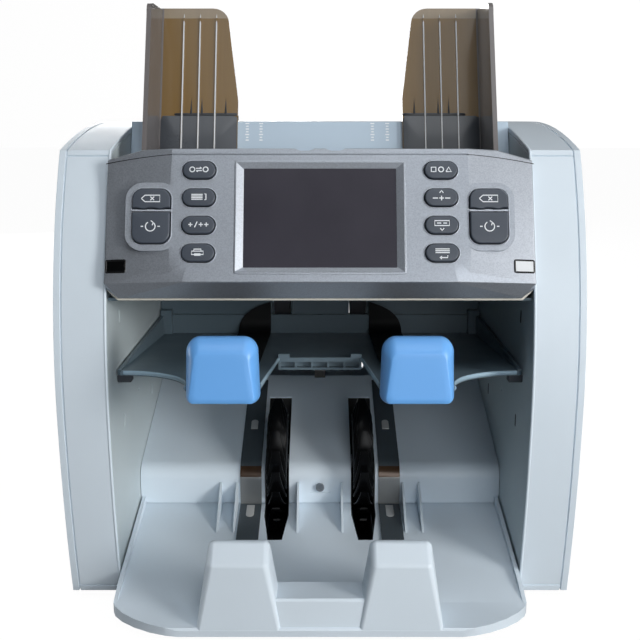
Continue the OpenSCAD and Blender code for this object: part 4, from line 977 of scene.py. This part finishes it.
class COUNTER_OT_keys(bpy.types.Operator):
    """Build the domed keys, their rims and their printed signs"""

    bl_idname = "counter.keys"
    bl_label = "Keys"

    def rim(self, loop, height, s):
        """A half-round bead laid round a key's outline, with a gap for the key to travel."""
        width, tall = 0.0005, 0.00025
        grid = ring(loop + outward(loop) * s.key_moat, bead(width, tall), height)
        return place(grid, CONSOLE_AXES)

    def execute(self, context):
        s = context.scene.counter_sizes
        shoulder = 2.4  # power of the superellipse between a key's side and its top
        sign_sunk, bar_sunk, bar_low = 0.0003, 0.0005, 0.0006
        rims, pairs = [], {}
        for node in PILL_KEYS + PAIR_KEYS:
            body = f"{node}_body"
            loop, height = top_outline(node, CONSOLE_AXES, 96)
            inner = loop - outward(loop) * s.key_round
            cap = capped(loop, inner, s.key_deep, s.key_round, shoulder, s.key_dome)
            cap[..., 2] += height - s.key_round
            add_piece(f"cap_{node}", [place(cap, CONSOLE_AXES)], body, "key plastic", [node])
            if node in PILL_KEYS:
                rims.append(self.rim(loop, height - s.key_proud, s))
            else:
                pairs.setdefault(node.split("_")[-1], []).append(loop)
            middle = (loop.min(0) + loop.max(0)) / 2
            sign = [path + middle for path in SYMBOLS[node if node in SYMBOLS else node.split("_")[0]]]
            bars = strokes(sign, s.mark_w, height - sign_sunk, height + s.key_dome + s.mark_h)
            bars = [place(bar, CONSOLE_AXES) for bar in bars]
            add_piece(f"sign_{node}", bars, body, "printed marks")
        for upper, lower in pairs.values():
            both = np.vstack([upper, lower])
            low, high = both.min(0), both.max(0)
            around = resample(rounded_loop(low, high, s.pair_round), 128)
            rims.append(self.rim(around, height - s.key_proud, s))
            split = (upper[:, 1].min() + lower[:, 1].max()) / 2
            ends = np.array([[low[0], split], [high[0], split]])
            bars = strokes([ends], s.pair_bar, height - s.key_proud - bar_sunk, height - bar_low)
            rims += [place(bar, CONSOLE_AXES) for bar in bars]
        # painted highlight: rims and pair bars take the lighter copy of the console paint
        add_piece("key_rims", rims, "chassis", "trim lightened for highlights")
        return {"FINISHED"}


class COUNTER_OT_hopper(bpy.types.Operator):
    """Finish the hopper, its guides and their carriages, and print the wall's marks"""

    bl_idname = "counter.hopper"
    bl_label = "Hopper"

    # the mark columns' places and the half lengths of a column's ticks, in millimetres
    columns = (-40.2, -32.6, 29.0, 37.2)
    ticks = (1.1, 0.7, 0.9, 0.7, 1.1, 0.7, 0.9)

    def wall_axes(self, s):
        """Directions of the leaning wall: right, up the wall, and out of its front."""
        lean = math.radians(s.wall_lean)
        return np.array([
            [1, 0, 0], [0, math.sin(lean), math.cos(lean)], [0, -math.cos(lean), math.sin(lean)],
        ])

    def wall_marks(self, s, axes):
        """Columns of short printed ticks for the notes' lengths: flat strokes on the leaning wall."""
        local = corners("hopper_wall") @ axes.T
        front, top = local[:, 2].max(), local[:, 1].max()
        first, pitch, width, sunk = 0.0021, 0.0016, 0.0007, 0.0002
        paths = []
        for column in self.columns:
            for row, reach in enumerate(self.ticks):
                y = top - (first + row * pitch)
                paths.append(np.array([[(column - reach) * MM, y], [(column + reach) * MM, y]]))
        bars = [place(bar, axes) for bar in strokes(paths, width, front - sunk, front + s.mark_h)]
        add_piece("wall_marks", bars, "chassis", "printed marks")

    def guide_trim(self, side, s, axes):
        """What shows through a guide's rear plate: three ribs with pointed ends, whose near-white
        crests are a painted highlight, and below them the dark carriage with its foot and gussets. A
        rib's section is an ellipse made boxier by a root, and a gusset's is a flatter ellipse that
        shrinks to a point."""
        sign = -1 if side == "left" else 1
        local = corners("hopper_wall") @ axes.T
        top, level = local[:, 1].max(), local[:, 2].max() + s.guide_front
        guide = corners(f"hopper_guide_{side}") @ axes.T
        edge = np.abs(guide[:, 0]).max() - s.guide_flange
        on_rib = (guide[:, 2] > level + s.rib_h / 2) & (np.abs(guide[:, 0]) < edge - s.rib_in)
        crest = guide[on_rib, 1]
        t = np.linspace(0, 1, 40)

        def plate(near, far, low, high, rounding, thick):
            """A thin rounded plate between two distances from the flange and two heights."""
            x = np.sort(sign * (edge - np.array([near, far])))
            loop = resample(rounded_loop([x[0], top + low], [x[1], top + high], rounding), 64)
            sunk, inset = 0.0003, 0.0001
            bar = soft_bar(loop, sunk, inset, thick)
            bar[..., 2] += level
            return place(bar, axes)

        def upright(near, heights, profile, scale):
            """A profile carried up the plate at a distance from the flange, scaled on its way."""
            x = np.full(len(t), sign * (edge - near))
            path = np.stack([x, heights, np.full(len(t), level)], -1)
            return place(sweep(path, [1.0, 0, 0], [0, 0, 1.0], profile, scale), axes)

        lens = ellipse(s.rib_w / 2, s.rib_h, 12)
        crown = np.sign(lens) * np.sqrt(np.abs(lens) * [s.rib_w / 2, s.rib_h])
        run = np.linspace(crest.max() + s.rib_over, crest.min(), len(t))
        steep, blunt = 30, 0.02
        pointed = np.minimum(1, steep * np.minimum(t, 1 - t) + blunt)
        ribs = [upright(s.rib_in + s.rib_pitch * k, run, crown, pointed) for k in (1, 2, 3)]
        gusset_low, gusset_h, gusset_flat = 0.0024, 0.0095, [1.4, 0.45]
        rise = top + gusset_low + t * gusset_h
        spikes = [upright(near, rise, lens * gusset_flat, 1 + blunt - t) for near in s.gussets]
        ledge = plate(near=0.0078, far=0.0424, low=0.0011, high=0.0028, rounding=0.0004, thick=0.0003)
        foot = plate(
            near=0.0003, far=0.0423, low=crest.min() - top, high=0.0012, rounding=0.0008, thick=0.0002
        )
        body = f"guide_{side}"
        # painted highlight: the crests are near-white to stand for light caught on the clear ribs
        add_piece(f"guide_ribs_{side}", ribs, body, "rib crest highlight")
        add_piece(f"guide_gussets_{side}", [ledge, *spikes], body, "shadow plastic")
        add_piece(f"guide_foot_{side}", [foot], body, "foot plastic")

    def execute(self, context):
        s = context.scene.counter_sizes
        axes = self.wall_axes(s)
        dress("hopper_wall", "hopper plastic", s.fine_edge)
        dress("hopper_floor", "tray plastic", s.fine_edge)
        dress("guide_rail", "brushed steel", s.fine_edge)
        for side in ("left", "right"):
            dress(f"hopper_guide_{side}", "smoked plastic", s.fine_edge)
            dress(f"guide_carriage_{side}", "black plastic", s.fine_edge)
            self.guide_trim(side, s, axes)
        self.wall_marks(s, axes)
        return {"FINISHED"}


class COUNTER_OT_reject(bpy.types.Operator):
    """Finish the reject pocket; build its bands, its rim with a painted highlight and its blue lips"""

    bl_idname = "counter.reject"
    bl_label = "Reject pocket"

    def lips(self, s):
        """Two soft caps: a rounded outline at the back and a smaller one in front, both narrower
        towards the head and joined along a superellipse. The front falls back towards the head."""
        low, high = box("reject_lips")
        axes = [[1, 0, 0], [0, 0, 1], [0, -1, 0]]
        tall = high[2] - low[2]
        skirt = 0.0025
        deep = high[1] - low[1] - skirt
        head_deep = 0.66 * deep
        back_radii, front_radii = (0.0032, 0.0032, 0.0068, 0.0068), (0.0026, 0.0026, 0.003, 0.003)
        foot_in, head_in = (0.002, 0.0016), (0.002, 0.0066)
        back_taper, front_taper, shoulder, smooth = 0.055, 0.3, 1.5, 70

        def depth(height):
            """How far the front stands out at a height."""
            return deep + (head_deep - deep) * (height - low[2]) / tall

        def narrowed(loop, middle, taper):
            """An outline drawn in towards its head by a share of its width."""
            rise = (loop[:, 1] - low[2]) / tall
            return np.stack([middle + (loop[:, 0] - middle) * (1 - taper * rise), loop[:, 1]], -1)

        grids = []
        for side in (-1, 1):
            middle = side * (high[0] - s.lip_w / 2)
            foot = np.array([middle - s.lip_w / 2, low[2]])
            head = np.array([middle + s.lip_w / 2, high[2]])
            back = narrowed(rounded_loop(foot, head, back_radii, 16), middle, back_taper)
            front = rounded_loop(foot + foot_in, head - head_in, front_radii, 16)
            front = narrowed(front, middle, front_taper)
            cap = capped(back, front, skirt, depth, shoulder, bands=14)
            cap[..., 2] += skirt - high[1]
            grids.append(place(cap, axes))
        add_piece("reject_lip_caps", grids, "chassis", "lip plastic", ["reject_lips"], smooth)

    def bands(self, s):
        """Black bands: over the floor, round a bend and up the wall, closing in to a point. The
        inner edge stays; the outer one draws in along a superellipse, (x/w)^p + (z/h)^p = 1."""
        points = corners("reject_strips")
        low, high = points.min(0), points.max(0)
        inner, wide = np.abs(points[:, 0]).min(), np.abs(points[:, 0]).max()
        bend, thick, tip = 0.008, 0.0005, 0.00005
        slope, power = math.radians(s.reject_slope), s.band_curve
        run = (high[1] - bend - low[1]) * np.linspace(0, 1, 30)
        front = points[points[:, 1] < low[1] + 10 * NEAR, 2].max()
        floor = np.stack([low[1] + run, front - run * math.tan(slope)], -1)
        foot = floor[-1, 1]
        a = np.linspace(-math.pi / 2 - slope, 0, 12)[1:]
        turn = np.stack([high[1] - bend + bend * np.cos(a), foot + bend + bend * np.sin(a)], -1)
        wall = np.stack([np.full(24, high[1]), np.linspace(turn[-1, 1], high[2], 25)[1:]], -1)
        path = np.concatenate([floor, turn, wall])
        tall = (high[2] - foot) / (1 - (inner / wide) ** power) ** (1 / power)
        rise = np.clip((path[:, 1] - foot) / tall, 0, 1)
        rise[:len(floor)] = 0
        outer = np.maximum(inner + tip, wide * (1 - rise ** power) ** (1 / power))
        along = tangents(path)
        normal = np.stack([-along[:, 1], along[:, 0]], -1)
        grids = []
        for side in (-1, 1):
            rows = []
            for x, lift in ((inner, 0), (outer, 0), (outer, thick), (inner, thick)):
                y, z = (path + normal * lift).T
                rows.append(np.stack([np.broadcast_to(side * x, len(path)), y, z], -1))
            grids.append(closed_ends(np.stack(rows, 1)))
        add_piece("reject_bands", grids, "chassis", "band film", ["reject_strips"])

    def tray_rim_highlight(self, s):
        """A pale bead along the tray's cut-out and its swept front edge, its pale tone a painted
        highlight:
        an ellipse carried along a straight line and round a corner, at the height of the sloping
        floor."""
        front = box("reject_tray")[0][1]
        slope = math.tan(math.radians(s.reject_slope))
        notch_in, sunk, half_w, half_h = 0.006, 0.0008, 0.0007, 0.0011
        notch = np.array([[s.notch_half, front + s.notch_deep], [s.tongue_in, front + notch_in]])
        a = np.radians(np.linspace(180, 92, 24))
        middle = np.array([s.tongue_out + s.tray_sweep, front])
        swept = middle + s.tray_sweep * np.stack([np.cos(a), np.sin(a)], -1)
        points = corners("reject_tray")
        level = points[points[:, 1] < front + 10 * NEAR, 2].max()
        section = ellipse(half_w, half_h, 12)
        grids = []
        for edge, count in ((notch, 30), (swept, 40)):
            walk = np.linspace(0, len(edge) - 1, count)
            plan = np.stack([np.interp(walk, np.arange(len(edge)), part) for part in edge.T], -1)
            right = with_height(plan, level - (plan[:, 1] - front) * slope - sunk)
            for path in (right * [-1, 1, 1], right):
                across = np.cross(tangents(path), [0, 0, 1.0])
                grids.append(sweep(path, across, [0, 0, 1.0], section))
        # painted highlight: the bead's pale tone stands for light on the tray's rounded edge
        add_piece("tray_rim_highlight", grids, "chassis", "tray rim highlight")

    def execute(self, context):
        s = context.scene.counter_sizes
        for node in ("reject_tray", "reject_back_plate", "pocket_ceiling"):
            dress(node, "tray plastic", s.fine_edge)
        dress("reject_sensor", "black plastic", s.fine_edge)
        dress("diverter_gate", "tray plastic", s.fine_edge)
        self.lips(s)
        self.bands(s)
        self.tray_rim_highlight(s)
        return {"FINISHED"}


class COUNTER_OT_stacker(bpy.types.Operator):
    """Finish the stacker pocket; build its wheels, the painted shade in their slots and the strips'
    tongues
    """

    bl_idname = "counter.stacker"
    bl_label = "Stacker pocket"

    def wheels(self, s):
        """Bladed wheels: a drum with rounded rims, and blades that sweep back along a spiral,
        r = root + (R - root) * t and angle = start - sweep * t, each drawn in to a blunt tip. A
        blade's section is a superellipse."""
        low, high = box("stacker_wheels")
        radius, half = (high[1] - low[1]) / 2, s.wheel_w / 2
        hub = 0.41 * radius
        root = 0.92 * hub
        t = np.linspace(0, 1, 22)
        r = root + (radius - root) * t
        start = 2 * math.pi * np.arange(s.vanes)[:, None] / s.vanes
        angle = start - math.radians(s.vane_sweep) * t
        path = np.stack([np.zeros_like(angle), r * np.cos(angle), r * np.sin(angle)], -1)
        along = np.gradient(path, axis=1)
        along /= np.linalg.norm(along, axis=2, keepdims=True)
        normal = np.stack([np.zeros_like(angle), -along[..., 2], along[..., 1]], -1)
        straight, drawn_in, root_thick, tip_thinner = 0.62, 0.64, 0.0012, 0.0007
        wide = half * np.where(t < straight, 1, 1 - drawn_in * (t - straight) / (1 - straight))
        thick = root_thick - tip_thinner * t
        section, boxiness = ellipse(1, 1, 16), [0.35, 0.6]
        across, over = (np.sign(section) * np.abs(section) ** boxiness).T
        grid = path[:, :, None] + np.array([1.0, 0, 0]) * (wide[:, None] * across)[None, :, :, None]
        blades = closed_ends(grid + normal[:, :, None] * (thick[:, None] * over)[None, :, :, None])
        rim, bore, smooth = 0.001, 0.004, 50
        drum = [
            (-half, bore), (-half, hub - rim), (rim - half, hub), (half - rim, hub),
            (half, hub - rim), (half, bore), (-half, bore),
        ]
        hubs = np.stack([np.insert(q * ellipse(1, 1, 64), 0, x, axis=1) for x, q in drum])
        grids = []
        for sign in (-1, 1):
            shift = WHEEL_AXIS * [0, 1, 1] + [sign * (high[0] - s.vane_side), 0, 0]
            grids += [blades + shift, hubs + shift]
        add_piece(
            "bladed_wheels", grids, "stacker_rotor", "gloss black", ["stacker_wheels"], smooth
        )

    def well_path(self, s):
        """Plan points just inside a wheel slot, and their heights: the sloping floor's, the ramp's,
        and between them the nose's, which rises by a power of a sine."""
        low, high = box("stacker_wheels")
        side = high[0] - s.vane_side
        half, tip = s.well_w / 2, s.well_tip / 2
        rear, front = high[1] + s.well_rear, low[1] - s.well_front
        taper = front + s.well_taper
        plan = resample(np.array([
            [side - half, rear], [side - half, taper], [side - tip, front],
            [side + tip, front], [side + half, taper], [side + half, rear],
        ]), 220)
        power, sunk = 0.7, 0.0006
        behind = plan[:, 1] - (WHEEL_AXIS[1] - s.nose_in)
        ramp = s.ramp_z + (behind - s.nose_r) * math.tan(math.radians(s.ramp_slope))
        bend = np.sin(np.clip(behind / s.nose_r, 0, 1) * math.pi / 2) ** power
        level = np.where(behind < s.nose_r, s.floor_z + (ramp - s.floor_z) * bend, ramp)
        level = np.where(behind < 0, s.floor_z + behind * s.floor_slope, level)
        return plan, level - sunk

    def wells(self, s):
        """Painted shade in the wheel slots: black liners close them at their sides, a thin wall let
        down from the slot's edge to the base."""
        plan, level = self.well_path(s)
        normal = outward(plan)
        thick, base = 0.0004, np.full(len(level), 0.0085)
        rows = [(0, level), (thick, level), (thick, base), (0, base), (0, level)]
        wall = np.stack([with_height(plan - normal * inset, height) for inset, height in rows])
        grids = [wall * [side, 1, 1] for side in (-1, 1)]
        # painted shade: black walls where the slots' interior lies in shade
        add_piece("wheel_slot_shade", grids, "chassis", "seam and shade black")

    def tongues(self, s):
        """Pressed tabs: a tombstone on the ramp's strip and a round-ended tongue on the floor's, both
        thin caps that lie on their strip."""
        x = box("stacker_strips")[1][0] - s.strip_w / 2
        slope, dip = math.radians(s.ramp_slope), math.atan(s.floor_slope)
        nose = WHEEL_AXIS[1] - s.nose_in
        strip, inset, sunk, thick = 0.0008, 0.0003, 0.0001, 0.0004
        tomb = rounded_loop([-0.0021, -0.0044], [0.0021, 0.0044], [0.0002, 0.0002, 0.0020, 0.0020])
        tongue = rounded_loop([-0.0023, -0.0055], [0.0023, 0.0055], [0.0022, 0.0022, 0.0002, 0.0002])
        tomb_y, tongue_in = -0.0032, 0.0085
        on_ramp = s.ramp_z + (tomb_y - nose - s.nose_r) * math.tan(slope) + strip / math.cos(slope)
        on_floor = s.floor_z - tongue_in * s.floor_slope + strip
        seats = ((tomb, tomb_y, on_ramp, slope), (tongue, nose - tongue_in, on_floor, dip))
        grids = []
        for side in (-1, 1):
            for loop, y, level, tilt in seats:
                up, out = [0, math.cos(tilt), math.sin(tilt)], [0, -math.sin(tilt), math.cos(tilt)]
                cap = capped(loop, loop - outward(loop) * inset, sunk, thick, bands=6, rings=4)
                grids.append(place(cap, [[1, 0, 0], up, out], [side * x, y, level]))
        add_piece("strip_tongues", grids, "chassis", "tab plastic")

    def execute(self, context):
        s = context.scene.counter_sizes
        for node in ("stacker_tray", "stacker_ramp"):
            dress(node, "white plastic", 0)
        dress("stacker_strips", "strip film with painted reflection", 0)
        dress("stacker_shaft", "brushed steel", s.fine_edge)
        dress("ramp_screw", "brushed steel", 0)
        self.wheels(s)
        self.wells(s)
        self.tongues(s)
        return {"FINISHED"}


class COUNTER_OT_drive(bpy.types.Operator):
    """Finish the rollers, the belts and the electrics"""

    bl_idname = "counter.drive"
    bl_label = "Drive"

    def execute(self, context):
        s = context.scene.counter_sizes
        for node in ("feed_rollers", "transport_rollers", "reject_wheels", "drive_belts"):
            dress(node, "rubber", 0)
        for node in ("drive_motor", "motor_pulley", "power_supply"):
            dress(node, "brushed steel", s.fine_edge)
        dress("sensor_bars", "black plastic", s.fine_edge)
        dress("main_board", "circuit board", 0)
        return {"FINISHED"}


class COUNTER_OT_stage(bpy.types.Operator):
    """Set the floor, the lights and the camera"""

    bl_idname = "counter.stage"
    bl_label = "Stage"

    eye = (0.0, -0.5306, 0.2456)
    dip = 12.5
    lens = 50.625
    target = (0.0, 0.0, 0.14)
    # name, place in metres, side, power and tone of each lamp
    lamps = (
        ("key", (1.4, -1.05, 0.6), 0.6, 10.0, (1.0, 0.97, 0.93)),
        ("side", (1.3, -1.15, 0.4), 0.5, 11.0, (1.0, 0.99, 0.97)),
        ("front", (0.3, -1.6, 0.5), 0.7, 6.0, (0.94, 0.97, 1.0)),
        ("top", (0.1, -0.7, 1.35), 0.8, 5.0, (0.94, 0.97, 1.0)),
        ("left", (-1.4, 0.45, 0.28), 0.6, 9.0, (1.0, 1.0, 1.0)),
        ("rear", (-0.4, 1.45, 0.46), 0.8, 13.0, (1.0, 1.0, 1.0)),
    )

    def lamp(self, name, spot, size, power, tone):
        """A square soft light that looks at the target in the machine's middle."""
        data = bpy.data.lights.new(name, "AREA")
        data.size = size
        data.energy = power
        data.color = tone
        obj = bpy.data.objects.new(name, data)
        bpy.context.scene.collection.objects.link(obj)
        aim = np.array(self.target) - np.array(spot)
        turn = math.atan2(aim[1], aim[0]) - math.pi / 2
        tilt = math.pi / 2 + math.atan2(aim[2], math.hypot(aim[0], aim[1]))
        obj.location = spot
        obj.rotation_euler = (tilt, 0, turn)

    def floor(self):
        """A wide pale sheet: nearly white, with a faint shadow, to the eye and through clear plastic,
        and grey to the light that it throws back."""
        mesh = bpy.data.meshes.new("floor")
        reach, sunk = 8.0, 0.0002
        glow, eye_share, sheen_share = 1.045, 0.93, 0.06
        edge = [(-reach, -reach, 0), (reach, -reach, 0), (reach, reach, 0), (-reach, reach, 0)]
        mesh.from_pydata(edge, [], [(0, 1, 2, 3)])
        material, shader, spot = new_material("pale floor")
        eye, clear, sheen = seen(spot)
        cloud = noise(spot, 3.0)
        shades = ((0.15, 0.18), (0.86, 0.92))
        grey, pale = (cloud.mix((low,) * 3, (high,) * 3) for low, high in shades)
        wire(shader, Base_Color=eye.mix(grey, pale), Roughness=0.9, Specular_IOR_Level=0.1)
        white = spot.node("Emission", {}, {"Color": (1, 1, 1, 1), "Strength": glow})
        base = Shade(material.node_tree, shader.outputs[0])
        share = eye_share * eye.math("MAXIMUM", eye, clear) + sheen_share * sheen
        both = spot.node("MixShader", {}, {0: share, 1: base, 2: white})
        leave = material.node_tree.nodes["Material Output"]
        material.node_tree.links.new(both.socket, leave.inputs["Surface"])
        mesh.materials.append(material)
        obj = bpy.data.objects.new("floor", mesh)
        obj.location.z = -sunk
        bpy.context.scene.collection.objects.link(obj)

    def world(self):
        """Soft light that grows towards the right; white where the eye or clear plastic looks at it,
        and in reflections a sky that grows upwards and towards the right."""
        light, white, sky = 0.1, 0.97, 0.65
        middle, lean = 0.45, 0.85
        world = bpy.data.worlds.new("studio")
        world.use_nodes = True
        bpy.context.scene.world = world
        tree = world.node_tree
        start = Shade(tree, None)
        eye, clear, sheen = seen(start)
        back = tree.nodes["Background"]
        back.inputs["Color"].default_value = (1, 1, 1, 1)
        ray = start.node("TexCoord", {}, {}, "Generated")
        high = ray.math("MAXIMUM", axis(ray, "Z"), 0.0)
        right = ray.math("MAXIMUM", middle + lean * axis(ray, "X"), 0.0)
        strength = light * right + white * eye.math("MAXIMUM", eye, clear) + sky * sheen * high * right
        tree.links.new(strength.socket, back.inputs["Strength"])

    def execute(self, context):
        scene = context.scene
        scene.view_settings.view_transform = "Standard"
        self.world()
        self.floor()
        for row in self.lamps:
            self.lamp(*row)
        data = bpy.data.cameras.new("camera")
        data.sensor_width = 36.0
        data.lens = self.lens
        data.clip_start = 0.01
        camera = bpy.data.objects.new("camera", data)
        camera.location = self.eye
        camera.rotation_euler = (math.radians(90 - self.dip), 0, 0)
        scene.collection.objects.link(camera)
        scene.camera = camera
        return {"FINISHED"}


STEPS = (
    COUNTER_OT_housing,
    COUNTER_OT_console,
    COUNTER_OT_keys,
    COUNTER_OT_hopper,
    COUNTER_OT_reject,
    COUNTER_OT_stacker,
    COUNTER_OT_drive,
    COUNTER_OT_stage,
)


class COUNTER_PT_panel(bpy.types.Panel):
    """Lists the counter's steps, colours and sizes"""

    bl_idname = "COUNTER_PT_panel"
    bl_label = "Banknote Counter"
    bl_space_type = "VIEW_3D"
    bl_region_type = "UI"
    bl_category = "Counter"

    def draw(self, context):
        for step in STEPS:
            self.layout.operator(step.bl_idname)
        for group in (context.scene.counter_colours, context.scene.counter_sizes):
            for name in group.bl_rna.properties.keys():
                if name not in ("rna_type", "name"):
                    self.layout.prop(group, name)


CLASSES = (CounterColours, CounterSizes, *STEPS, COUNTER_PT_panel)


def register():
    for cls in CLASSES:
        bpy.utils.register_class(cls)
    bpy.types.Scene.counter_colours = bpy.props.PointerProperty(type=CounterColours)
    bpy.types.Scene.counter_sizes = bpy.props.PointerProperty(type=CounterSizes)


def unregister():
    del bpy.types.Scene.counter_sizes
    del bpy.types.Scene.counter_colours
    for cls in reversed(CLASSES):
        bpy.utils.unregister_class(cls)


def main():
    register()
    for step in STEPS:
        group, name = step.bl_idname.split(".")
        getattr(getattr(bpy.ops, group), name)()


if __name__ == "__main__":
    main()
